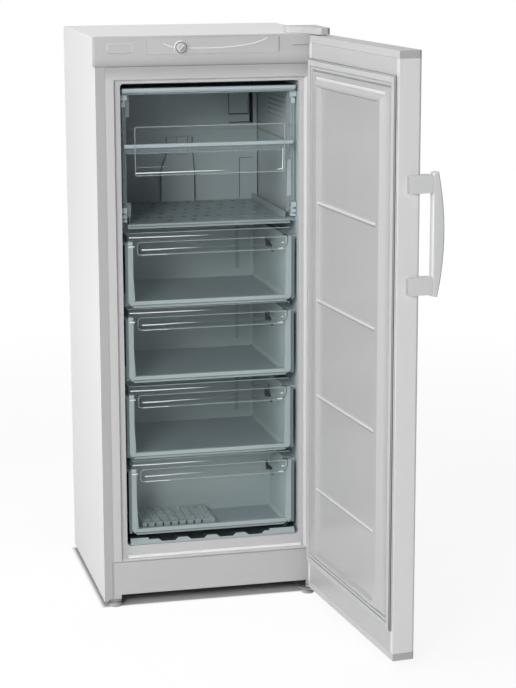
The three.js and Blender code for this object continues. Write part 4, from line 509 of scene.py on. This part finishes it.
# a flat shape drawn in (x, z) and given a thickness towards the back
def flatShape(name, body, material, outline, y, thickness, edge=0.6):
    shape = bmesh.new()
    corners = [shape.verts.new(place(x, y, z)) for x, z in outline]
    face = shape.faces.new(corners)
    made = bmesh.ops.extrude_face_region(shape, geom=[face])
    moved = [item for item in made["geom"] if isinstance(item, bmesh.types.BMVert)]
    bmesh.ops.translate(shape, verts=moved, vec=(0, thickness * mm, 0))
    bmesh.ops.bevel(shape, geom=list(shape.edges), offset=edge * mm, offset_type="OFFSET", segments=2,
                    affect="EDGES", profile=0.5, clamp_overlap=True, material=-1)
    bmesh.ops.recalc_face_normals(shape, faces=shape.faces)
    mesh = bpy.data.meshes.new(name)
    shape.to_mesh(mesh)
    shape.free()
    mesh.materials.append(material)
    piece = bpy.data.objects.new(name, mesh)
    scene.collection.objects.link(piece)
    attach(piece, body)
    return piece


# the fine parts of a drawer's front: x from its middle, y from its face and z from its head
drawerDetail = {
    "face": 27,
    # the head's line and the hook's glints are painted highlights, the hook's dark outline painted shade
    "lines": {
        "headLine": (edgeSan, 1.0, 9, ((-216.5, -0.7), (216.5, -0.7))),
        "hook": (darkEdgeSan, 1.1, -0.2,
                 ((194, -18), (204, -18.5), (208, -22), (208.5, -36), (205, -47), (197, -54)),
                 (1.6, 1.9, 1.0, 0.8, 0.8, 0.5)),
        "hookGlint0": (glintSan, 1.6, 0.4, ((191, -39), (198, -39)), (0.5, 1.0)),
        "hookGlint1": (glintSan, 1.6, 0.4, ((182, -54), (196, -54)), (0.5, 1.0)),
    },
    # painted highlights, of which only the outer end follows the drawer's sideways shift
    "glints": {
        "rollLine": (1.5, 1.2, ((-215, -10.5), (-155, -11), (-64, -11), (-4, -11)), (1.1, 1.0, 0.8, 0.12)),
        "gripBar": (2.0, 9, ((-181, -45), (-131, -45), (-90, -44), (-30, -44)), (1.0, 0.9, 0.55, 0.12)),
        "gripLowLine": (0.9, 0.5, ((-182, -57), (-120, -57), (-60, -57)), (1.0, 1.0, 0.2)),
    },
    "gripRing": {"sides": (-193, 205), "heights": (-57, -24), "y": 0.4, "corner": 8, "radius": 0.75},
    # flat shapes: material, y, thickness, edge rounding and outline; the two black shapes are painted shade
    # where a dark gap behind the tub's side shows, and the side step is a painted highlight
    "shapes": {
        "notchShade": (blackNylon, 10.6, 1.0, 0.2,
                      ((150, -23), (154, -22), (158, -35), (164, -40), (169, -46), (167, -51), (151, -48))),
        "notchWedgeShade": (blackNylon, -0.3, 0.8, 0.2, ((160, -59), (169, -57.5), (169, -63))),
        "sideCap": (frostedSan, -1.6, 3, 0.6, boxOutline(-217.5, -207, -21, -30)),
        "sideStep": (glintSan, -1.2, 2.4, 0.6, boxOutline(-217, -201, -33, -36)),
    },
    # wedges beside the window: outer and inner side, top below the head, foot above the drawer's foot
    "wedge": {"outer": 209, "inner": 201, "top": 36, "foot": 18, "y": 0.6, "thickness": 2.2, "edge": 0.2},
    # upright strips: material, y, thickness, two sides, start above the foot and end below the head;
    # the flanges are painted shade, and the left rear rib's darker copy is painted shade
    "flanges": {
        "flangeLeft": (flangeSan, 3, 1.6, -225.7, -217.8, 5, 24),
        "flangeRight": (flangeSan, 3, 1.6, 217.8, 227.7, 5, 24),
    },
    "rearRibs": {
        "rearRibLeft": (tubFloorSan, 344.4, 2.0, 146, 157, 32, 26),
        "rearRibRight": (frostedSan, 344.4, 2.0, 188, 195, 32, 26),
    },
    "stripEdge": 0.4,
    "deepDrawers": 3,    # the upper ones; the short lowest tub has no rear ribs
    "footLine": {"half": 209.5, "height": 6.5, "y": 0.1, "radius": 1.4},
}


def drawerLines(index, foot, height, shift):
    d = drawerDetail
    body = f"drawer_{index}"
    head = foot + height
    beadTable(body + "_", body, d["lines"], (shift, d["face"], head))
    for name, (radius, y, route, shares) in d["glints"].items():
        shifts = [shift] + [0] * (len(route) - 1)
        points = [(x + move, d["face"] + y, head + z) for (x, z), move in zip(route, shifts)]
        beadAlong(f"{body}_{name}", body, glintSan, radius, points, shares)
    r = d["gripRing"]
    ring = roundedRoute(*[x + shift for x in r["sides"]], *[head + z for z in r["heights"]],
                        d["face"] + r["y"], r["corner"])
    beadAlong(f"{body}_gripRing", body, edgeSan, r["radius"], ring, closed=True)
    for name, (material, y, thickness, edge, outline) in d["shapes"].items():
        flatShape(f"{body}_{name}", body, material, [(x + shift, head + z) for x, z in outline],
                  d["face"] + y, thickness, edge)
    w = d["wedge"]
    for name, side in (("wedgeLeft", -1), ("wedgeRight", 1)):
        outer, inner = side * w["outer"] + shift, side * w["inner"] + shift
        outline = [(outer, head - w["top"]), (outer, foot + w["foot"]), (inner, foot + w["foot"])]
        flatShape(f"{body}_{name}", body, tubSan, outline, d["face"] + w["y"], w["thickness"], w["edge"])
    strips = {**d["flanges"], **(d["rearRibs"] if index <= d["deepDrawers"] else {})}
    for name, (material, y, thickness, x0, x1, above, below) in strips.items():
        outline = boxOutline(x0 + shift, x1 + shift, foot + above, head - below)
        flatShape(f"{body}_{name}", body, material, outline, d["face"] + y, thickness, d["stripEdge"])
    low = d["footLine"]
    beadAlong(f"{body}_footLine", body, flangeSan, low["radius"],
              [(side * low["half"] + shift, d["face"] + low["y"], foot + low["height"]) for side in (-1, 1)])


for rowIndex, drawerRow in enumerate(drawerRows, 1):
    drawerLines(rowIndex, *drawerRow)

# cup ends along the ice tray's front skirt and the dark stop beside the lowest drawer
trayDetail = {
    "cups": 8,
    "firstCup": -173.5,
    "pitch": 21.2,
    "cupEnd": ((-4, 196.5), (4, 196.5), (2.4, 204), (1.8, 208.5), (-1.8, 208.5), (-2.4, 204)),
    "cupPlace": (44.2, 1.4, 0.2),    # y, thickness and edge rounding
    "stop": ((193, 177), (205, 178), (209, 188), (208, 193), (200, 186)),
    "stopPlace": (25.6, 1.2, 0.2),
}


def trayLines():
    t = trayDetail
    for step in range(t["cups"]):
        middle = t["firstCup"] + t["pitch"] * step
        outline = [(middle + x, z) for x, z in t["cupEnd"]]
        flatShape(f"cupEnd{step}", "drawer_4", blackNylon, outline, *t["cupPlace"])
    flatShape("lowerStop", "drawer_4", blackNylon, t["stop"], *t["stopPlace"])


trayLines()
print("drawer fronts detailed")


# the flap's rim, its lower edge, right corner and a fine line inside it, all lines of painted highlight
flapDetail = {
    "half": 198, "bottom": 1145, "top": 1271, "inset": 0.8, "rimY": 17, "corner": 5, "rimRadius": 0.9,
    "lines": {
        "LowerGlint": (glintSan, 1.5, 18, ((-196, 1152.5), (-120, 1152.5), (-10, 1153), (40, 1153)),
                       (1.1, 1.1, 0.8, 0.2)),
        "InnerLine": (edgeSan, 0.5, 19, ((-194, 1167), (-110, 1167))),
        "RightBar": (glintSan, 1.5, 18, ((192, 1153), (193, 1207)), (1.0, 0.5)),
        "CornerGlint": (glintSan, 1.8, 18, ((178, 1151), (192, 1152)), (0.5, 1.0)),
    },
}


def flapLines():
    f = flapDetail
    body = nodes["shelf_flap"]["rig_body"]
    half = f["half"] - f["inset"]
    rim = roundedRoute(-half, half, f["bottom"] + f["inset"], f["top"] - f["inset"], f["rimY"], f["corner"])
    beadAlong("flapEdge", body, edgeSan, f["rimRadius"], rim, closed=True)
    beadTable("flap", body, f["lines"])


flapLines()
print("flap detailed")


# lines of painted highlight along the edges of the two side rails, the shelf trim and the ceiling duct
railLines = {
    "railEdgeLeft": (edgeSan, 0.9, 36.6, ((-224.5, 1064), (-224.5, 1318))),
    "railEdgeRight": (edgeSan, 0.7, 36.6, ((219, 1080), (219, 1318))),
    "railOuterRight": (edgeSan, 0.7, 36.6, ((226, 1064), (226, 1318))),
    "trimTopLine": (edgeSan, 0.8, 27.6, ((-216, 1224.4), (216, 1224.4))),
    "trimFootLine": (edgeSan, 0.7, 27.6, ((-216, 1201.6), (216, 1201.6))),
    "ductHeadLine": (edgeSan, 1.0, 22.6, ((-224, 1367.4), (224, 1367.4))),
    "ductFootLine": (edgeSan, 0.8, 22.6, ((-210, 1354.2), (224, 1354.2))),
}
# outline, y and thickness
railStrip = (((208, 1078), (219.5, 1078), (219.5, 1172), (210, 1174)), 35.2, 1.6)
beadTable("", "cabinet", railLines)
flatShape("railStripRight", "cabinet", tubSan, *railStrip)
print("rails detailed")


# the sill's rounded ridge with the flat behind it, both white as painted highlight, and the joints round the
# plinth
baseLines = {
    "sillRidge": (whiteGlint, 3.0, 6.5, ((-234, 129.2), (0, 129.2), (240, 129.2))),
    "plinthJoint": (greyGroove, 0.7, 0.4, ((-277, 120.5), (285, 120.5))),
    "plinthEnd": (greyGroove, 0.7, 0.4, ((-278, 120.5), (-278, 24))),
}
sillFlat = (boxOutline(-234, 240, 129.2, 133.8), 9.4, 1.2, 0.4)   # outline, y, thickness and edge rounding
beadTable("", "cabinet", baseLines)
flatShape("sillGlint", "cabinet", whiteGlint, *sillFlat)


# fascia: the joint below it, a raised pad with a painted highlight round it and painted shade along its foot,
# the groove beside the insert and the swoosh across it, white as painted highlight
fasciaDetail = {
    "lines": {
        "fasciaJoint": (greyGroove, 0.7, 0.4, ((-274, 1425.2), (299, 1425.2))),
        "fasciaEndMark": (greyGroove, 0.6, -0.4, ((213, 1472.5), (256, 1473))),
        "insertGroove": (greyGroove, 0.7, -0.5, ((178, 1457), (178, 1496))),
    },
    "pad": (-267.5, -202.5, 1461.5, 1483.5, -0.6, 5),   # two sides, foot, top, y and corner radius
    "padLine": 0.45,     # radius of the lit line round it
    "padShade": 0.4,     # radius of the shade along its foot
    "padDrop": 1.1,      # how far the shade lies below the lit line
    "padFootPoints": 9,  # how many points of the outline the shade follows
    "insertMiddle": 5.5,
    "insertHalf": 171.5,
    "insertEnd": -1.1,   # y of the swoosh at the insert's ends
    "insertCrown": 1.6,  # how far the insert stands out in its middle
    # the swoosh, broken by the knob: shares of the insert's half width and heights
    "swoosh": ((-0.755, 1483), (-0.70, 1478.5), (-0.64, 1474.5), (-0.58, 1472.5)),
    "swooshOn": ((-0.38, 1470.3), (-0.2, 1469.2), (-0.03, 1469), (0.15, 1470), (0.32, 1472), (0.48, 1475.2),
                 (0.62, 1479.2), (0.74, 1485), (0.8, 1489.5), (0.83, 1493)),
    "swooshRadius": 1.25,
}


def fasciaLines():
    f = fasciaDetail
    beadTable("", "cabinet", f["lines"])
    ring = roundedRoute(*f["pad"])
    beadAlong("padEdge", "cabinet", whiteGlint, f["padLine"], ring, closed=True)
    beadAlong("padShade", "cabinet", greyGroove, f["padShade"],
              [(x, y, z - f["padDrop"]) for x, y, z in ring[:f["padFootPoints"]]])
    for name in ("swoosh", "swooshOn"):
        route = [(f["insertMiddle"] + share * f["insertHalf"],
                  f["insertEnd"] - f["insertCrown"] * (1 - share ** 2), z) for share, z in f[name]]
        beadAlong(name + "Bead", "cabinet", whiteGlint, f["swooshRadius"], route)


# the knob: painted shade in the gap round it, a painted highlight on its collar's rim, painted shade over
# its face's lower right half and a painted highlight along the split
knobDetail = {
    "at": (-78, 1471),
    "collarY": -3.0,
    "faceY": -7.5,
    # arcs: distance from the knob's middle, first angle and step in degrees, and number of points;
    # the gap is widest at the lower right
    "gap": {"arc": (13.7, 0, 15, 24), "radius": 1.0, "mean": 0.65, "swing": 0.5},
    "collar": {"arc": (17.4, 40, 12, 15), "radius": 1.3},
    "shade": {"arc": (8.8, -135, 15, 13), "thickness": 0.5, "edge": 0.1},
    "split": {"reach": 6.4, "radius": 0.9},
}


# the angles of an arc round the knob's middle and its points in (x, z)
def knobArc(distance, start, step, count):
    kx, kz = knobDetail["at"]
    turns = [math.radians(start + step * i) for i in range(count)]
    return turns, [(kx + distance * math.cos(a), kz + distance * math.sin(a)) for a in turns]


def knobLines():
    k = knobDetail
    kx, kz = k["at"]
    gap, collar, shade, split = k["gap"], k["collar"], k["shade"], k["split"]
    turns, circle = knobArc(*gap["arc"])
    beadAlong("knobGap", "cabinet", darkGroove, gap["radius"], [(x, k["collarY"], z) for x, z in circle],
              [gap["mean"] + gap["swing"] * math.cos(a + math.pi / 4) for a in turns], closed=True)
    turns, circle = knobArc(*collar["arc"])
    beadAlong("collarGlint", "cabinet", whiteGlint, collar["radius"],
              [(x, k["collarY"], z) for x, z in circle],
              [math.sin(math.pi * (i + 0.5) / len(turns)) for i in range(len(turns))])
    turns, circle = knobArc(*shade["arc"])
    flatShape("knobShade", "knob", shadedAbs, circle, k["faceY"], shade["thickness"], shade["edge"])
    beadAlong("knobGlint", "knob", whiteGlint, split["radius"],
              [(kx + side * split["reach"], k["faceY"], kz + side * split["reach"]) for side in (-1, 1)])


fasciaLines()
knobLines()
print("fascia detailed")


# door details are drawn as if it were shut and then turned about the hinge's axis
doorDetail = {
    "axis": (285, -42),
    "open": 95,          # degrees at rest
    "gasketHalf": 291.5,
    "gasketTop": 1440.5,
    "gasketFoot": 97,
    # the gasket's ridges: material, radius and y; the dark ones are painted shade, the lip a painted
    # highlight
    "gasket": {
        "Fold": (darkGroove, 1.5, -4.2),
        "Lip": (whiteGlint, 0.9, -7.3),
        "Base": (darkGroove, 1.3, -10.4),
    },
    # the crease is a line of painted shade
    "crease": (2.6, -1.9, 0.9, 4, 5),   # way inwards, y, radius and what it leaves free at foot and top
    "panelHalf": 197,
    "ribs": (321, 574, 827, 1080),
    "crest": 1394,
    # lines across the panel: material, radius, reach past the panel's side, y and place above rib or crest;
    # the glints are painted highlights and the shades painted shade
    "ribGlint": (ribGlint, 3.6, 5, 1.8, 1.2),
    "ribShade": (greyGroove, 0.8, 4, 0.4, -6.4),
    "crestGlint": (softGlint, 8.0, 33, -9.4, 0),
    "crestShade": (paintedSoftShade, 2.6, -2, -2.6, -21),
}


def shutDoorPlace(x, y, z):
    hx, hy = doorDetail["axis"]
    turn = math.radians(doorDetail["open"])
    return (hx + math.cos(turn) * (x - hx) - math.sin(turn) * (y - hy),
            hy + math.sin(turn) * (x - hx) + math.cos(turn) * (y - hy), z)


def doorBead(name, material, radius, route):
    beadAlong(name, "door", material, radius, [shutDoorPlace(*at) for at in route])


def lineAcross(kind, suffix, level):
    material, radius, reach, y, rise = doorDetail[kind]
    end = doorDetail["panelHalf"] + reach
    doorBead(kind + suffix, material, radius, [(end, y, level + rise), (-end, y, level + rise)])


def doorLines():
    d = doorDetail
    edge, top, foot = d["gasketHalf"], d["gasketTop"], d["gasketFoot"]
    for name, (material, radius, y) in d["gasket"].items():
        doorBead("gasket" + name, material, radius, [(-edge, y, foot), (-edge, y, top), (edge, y, top)])
    inwards, y, radius, footGap, topGap = d["crease"]
    doorBead("gasketCrease", darkGroove, radius,
             [(inwards - edge, y, foot + footGap), (inwards - edge, y, top - topGap)])
    for i, level in enumerate(d["ribs"]):
        lineAcross("ribGlint", str(i), level)
        lineAcross("ribShade", str(i), level)
    lineAcross("crestGlint", "", d["crest"])
    lineAcross("crestShade", "", d["crest"])


# the painted shade outlining the handle's bow, on the same curve
handleDetail = {
    "edge": -308.3, "tip": -107.5, "middle": -123.5, "centre": 1068.5, "half": 148.5,
    "behind": 1.4, "short": 1, "radius": 1.4, "steps": 16,
}


def handleLine():
    h = handleDetail
    bulge = 2 * h["middle"] - h["tip"]
    route = []
    for step in range(h["steps"] + 1):
        t = step / h["steps"]
        y = ((1 - t) ** 2 + t ** 2) * h["tip"] + 2 * t * (1 - t) * bulge
        route.append((h["edge"], y + h["behind"], h["centre"] + (2 * t - 1) * (h["half"] - h["short"])))
    doorBead("handleOutline", greyGroove, h["radius"], route)


doorLines()
handleLine()
print("door detailed")


# dark joints and grooves on the rear wall: y is the wall's face there
wallLines = {
    "bottleLeft": (jointShade, 1.1, 423.5,
                   ((-36, 1196), (-36, 1165), (-39, 1145), (-49, 1118), (-52, 1100), (-53, 1022))),
    "bottleRight": (jointShade, 1.1, 423.5, ((37, 1196), (37, 1160), (39, 1143), (43, 1100), (43, 1022))),
    "bottleHead": (jointShade, 0.8, 423.5, ((-6, 1196), (-6, 1148), (24, 1148), (24, 1196))),
    "columnLeft": (jointShade, 0.9, 426, ((172, 1022), (172, 1134))),
    "columnTop": (jointShade, 0.7, 426, ((172, 1134), (208, 1134))),
    "recessLeft": (jointShade, 1.0, 430, ((143, 1350), (143, 1256))),
    "recessFoot": (jointShade, 1.6, 430, ((143, 1256), (199, 1256))),
    "recessRight": (jointShade, 0.8, 430, ((199, 1256), (199, 1350))),
    "lowerJoint": (jointShade, 1.4, 430, ((143, 1233), (204, 1233))),
    "slitEdge": (slotShade, 2.6, 430, ((209, 1350), (209, 1230))),
}
beadTable("wall_", "cabinet", wallLines)
print("rear wall detailed")


# a big soft lamp at the left, one before the cabinet and a weaker one above
studio = {
    "floorSize": 16.0,
    "floorAt": (0.271, 0.26, -0.0005),
    "footprint": (0.3, 0.2625, 1.0),
    "shadowFrom": 1.0,   # share of the footprint where the floor's own shade starts to thin out
    "shadowTo": 1.04,
    "floorGrey": 0.9,
    # the floor under the case is darkened for the camera by painted shadow
    "shadeDepth": 0.34,  # how much darker the floor under the case is to the camera
    "fadeFrom": 1.4,     # metres from the object where the floor starts to turn plain white
    "fadeTo": 4.0,
    "floorWhite": 0.88,
    "floorGlow": 1.02,
    "world": 0.07,
    "mirrored": 0.5,     # share of plain white in a reflection
    "key": {"at": (-4.6, -1.2, 2.4), "aim": (0.0, 0.2, 0.8), "size": 2.6, "power": 135},
    "fill": {"at": (-2.5, -4.3, 2.9), "aim": (0.25, 0.2, 0.8), "size": 2.0, "power": 165},
    "top": {"at": (0.2, 0.4, 4.2), "aim": (0.27, 0.25, 0.0), "size": 2.4, "power": 62},
}
white = (1, 1, 1, 1)


# what the eye sees is white, and mirror-like faces see the darker end of the studio
def seenRay(tree):
    ray = addNode(tree, "ShaderNodeLightPath")
    mirrored = addNode(tree, "ShaderNodeMath", {"operation": "MULTIPLY", 1: studio["mirrored"]},
                       {0: ray.outputs["Is Glossy Ray"]})
    two = addNode(tree, "ShaderNodeMath", {"operation": "MAXIMUM"},
                  {0: ray.outputs["Is Camera Ray"], 1: mirrored.outputs[0]})
    return addNode(tree, "ShaderNodeMath", {"operation": "MAXIMUM"},
                   {0: two.outputs[0], 1: ray.outputs["Is Transmission Ray"]}).outputs[0]


# 0 within the case's footprint and 1 outside it, with a narrow step between them
def outsideFootprint(tree, where):
    folded = addNode(tree, "ShaderNodeVectorMath", {"operation": "ABSOLUTE"}, {0: where})
    scaled = addNode(tree, "ShaderNodeVectorMath", {"operation": "DIVIDE", 1: studio["footprint"]},
                     {0: folded.outputs[0]})
    sides = addNode(tree, "ShaderNodeSeparateXYZ", None, {0: scaled.outputs[0]})
    outside = addNode(tree, "ShaderNodeMath", {"operation": "MAXIMUM"},
                      {0: sides.outputs["X"], 1: sides.outputs["Y"]})
    limits = {"From Min": studio["shadowFrom"], "From Max": studio["shadowTo"], "To Min": 0.0, "To Max": 1.0}
    return addNode(tree, "ShaderNodeMapRange", limits, {"Value": outside.outputs[0]}).outputs[0]


# a matt grey that keeps the shadow near the case, darkened under the case by painted shadow, and turns plain
# white further out
def floorMaterial():
    material = bpy.data.materials.new("pale studio floor")
    tree = emptyTree(material)
    glow = addNode(tree, "ShaderNodeEmission", {"Color": white, "Strength": studio["floorGlow"]})
    where = addNode(tree, "ShaderNodeTexCoord").outputs["Object"]
    away = addNode(tree, "ShaderNodeVectorMath", {"operation": "LENGTH"}, {0: where}).outputs["Value"]
    limits = {"From Min": studio["fadeFrom"], "From Max": studio["fadeTo"],
              "To Min": studio["floorWhite"], "To Max": 1.0}
    fade = addNode(tree, "ShaderNodeMapRange", limits, {"Value": away}).outputs[0]
    near = outsideFootprint(tree, where)
    beneath = addNode(tree, "ShaderNodeMath", {"operation": "SUBTRACT", 0: 1.0}, {1: near}).outputs[0]
    shaded = addNode(tree, "ShaderNodeMath", {"operation": "MULTIPLY"}, {0: seenRay(tree), 1: beneath})
    grey = addNode(tree, "ShaderNodeMath",
                   {"operation": "MULTIPLY_ADD", 1: -studio["shadeDepth"], 2: studio["floorGrey"]},
                   {0: shaded.outputs[0]})
    plain = addNode(tree, "ShaderNodeBsdfDiffuse", None, {"Color": grey.outputs[0]})
    both = addNode(tree, "ShaderNodeMath", {"operation": "MULTIPLY"}, {0: near, 1: fade})
    share = addNode(tree, "ShaderNodeMath", {"operation": "MULTIPLY"}, {0: seenRay(tree), 1: both.outputs[0]})
    mix = addNode(tree, "ShaderNodeMixShader", None,
                  {0: share.outputs[0], 1: plain.outputs[0], 2: glow.outputs[0]})
    addNode(tree, "ShaderNodeOutputMaterial", None, {"Surface": mix.outputs[0]})
    return material


def makeFloor():
    shape = bmesh.new()
    bmesh.ops.create_grid(shape, x_segments=2, y_segments=2, size=studio["floorSize"] / 2)
    mesh = bpy.data.meshes.new("studioFloor")
    shape.to_mesh(mesh)
    shape.free()
    mesh.materials.append(floorMaterial())
    floor = bpy.data.objects.new("studioFloor", mesh)
    floor.location = studio["floorAt"]
    scene.collection.objects.link(floor)


def makeWorld():
    world = bpy.data.worlds.new("studioWorld")
    scene.world = world
    tree = emptyTree(world)
    seen = addNode(tree, "ShaderNodeBackground", {"Color": white, "Strength": 1.0})
    light = addNode(tree, "ShaderNodeBackground", {"Color": white, "Strength": studio["world"]})
    mix = addNode(tree, "ShaderNodeMixShader", None,
                  {0: seenRay(tree), 1: light.outputs[0], 2: seen.outputs[0]})
    addNode(tree, "ShaderNodeOutputWorld", None, {"Surface": mix.outputs[0]})


def makeLamp(name):
    settings = studio[name]
    data = bpy.data.lights.new(name, "AREA")
    data.shape = "DISK"
    data.size = settings["size"]
    data.energy = settings["power"]
    lamp = bpy.data.objects.new(name, data)
    scene.collection.objects.link(lamp)
    at, aim = Vector(settings["at"]), Vector(settings["aim"])
    lamp.matrix_world = Matrix.Translation(at) @ (at - aim).to_track_quat("Z", "Y").to_matrix().to_4x4()


makeFloor()
makeWorld()
for lampName in ("key", "fill", "top"):
    makeLamp(lampName)
scene.view_settings.view_transform = "Standard"
print("studio lit")
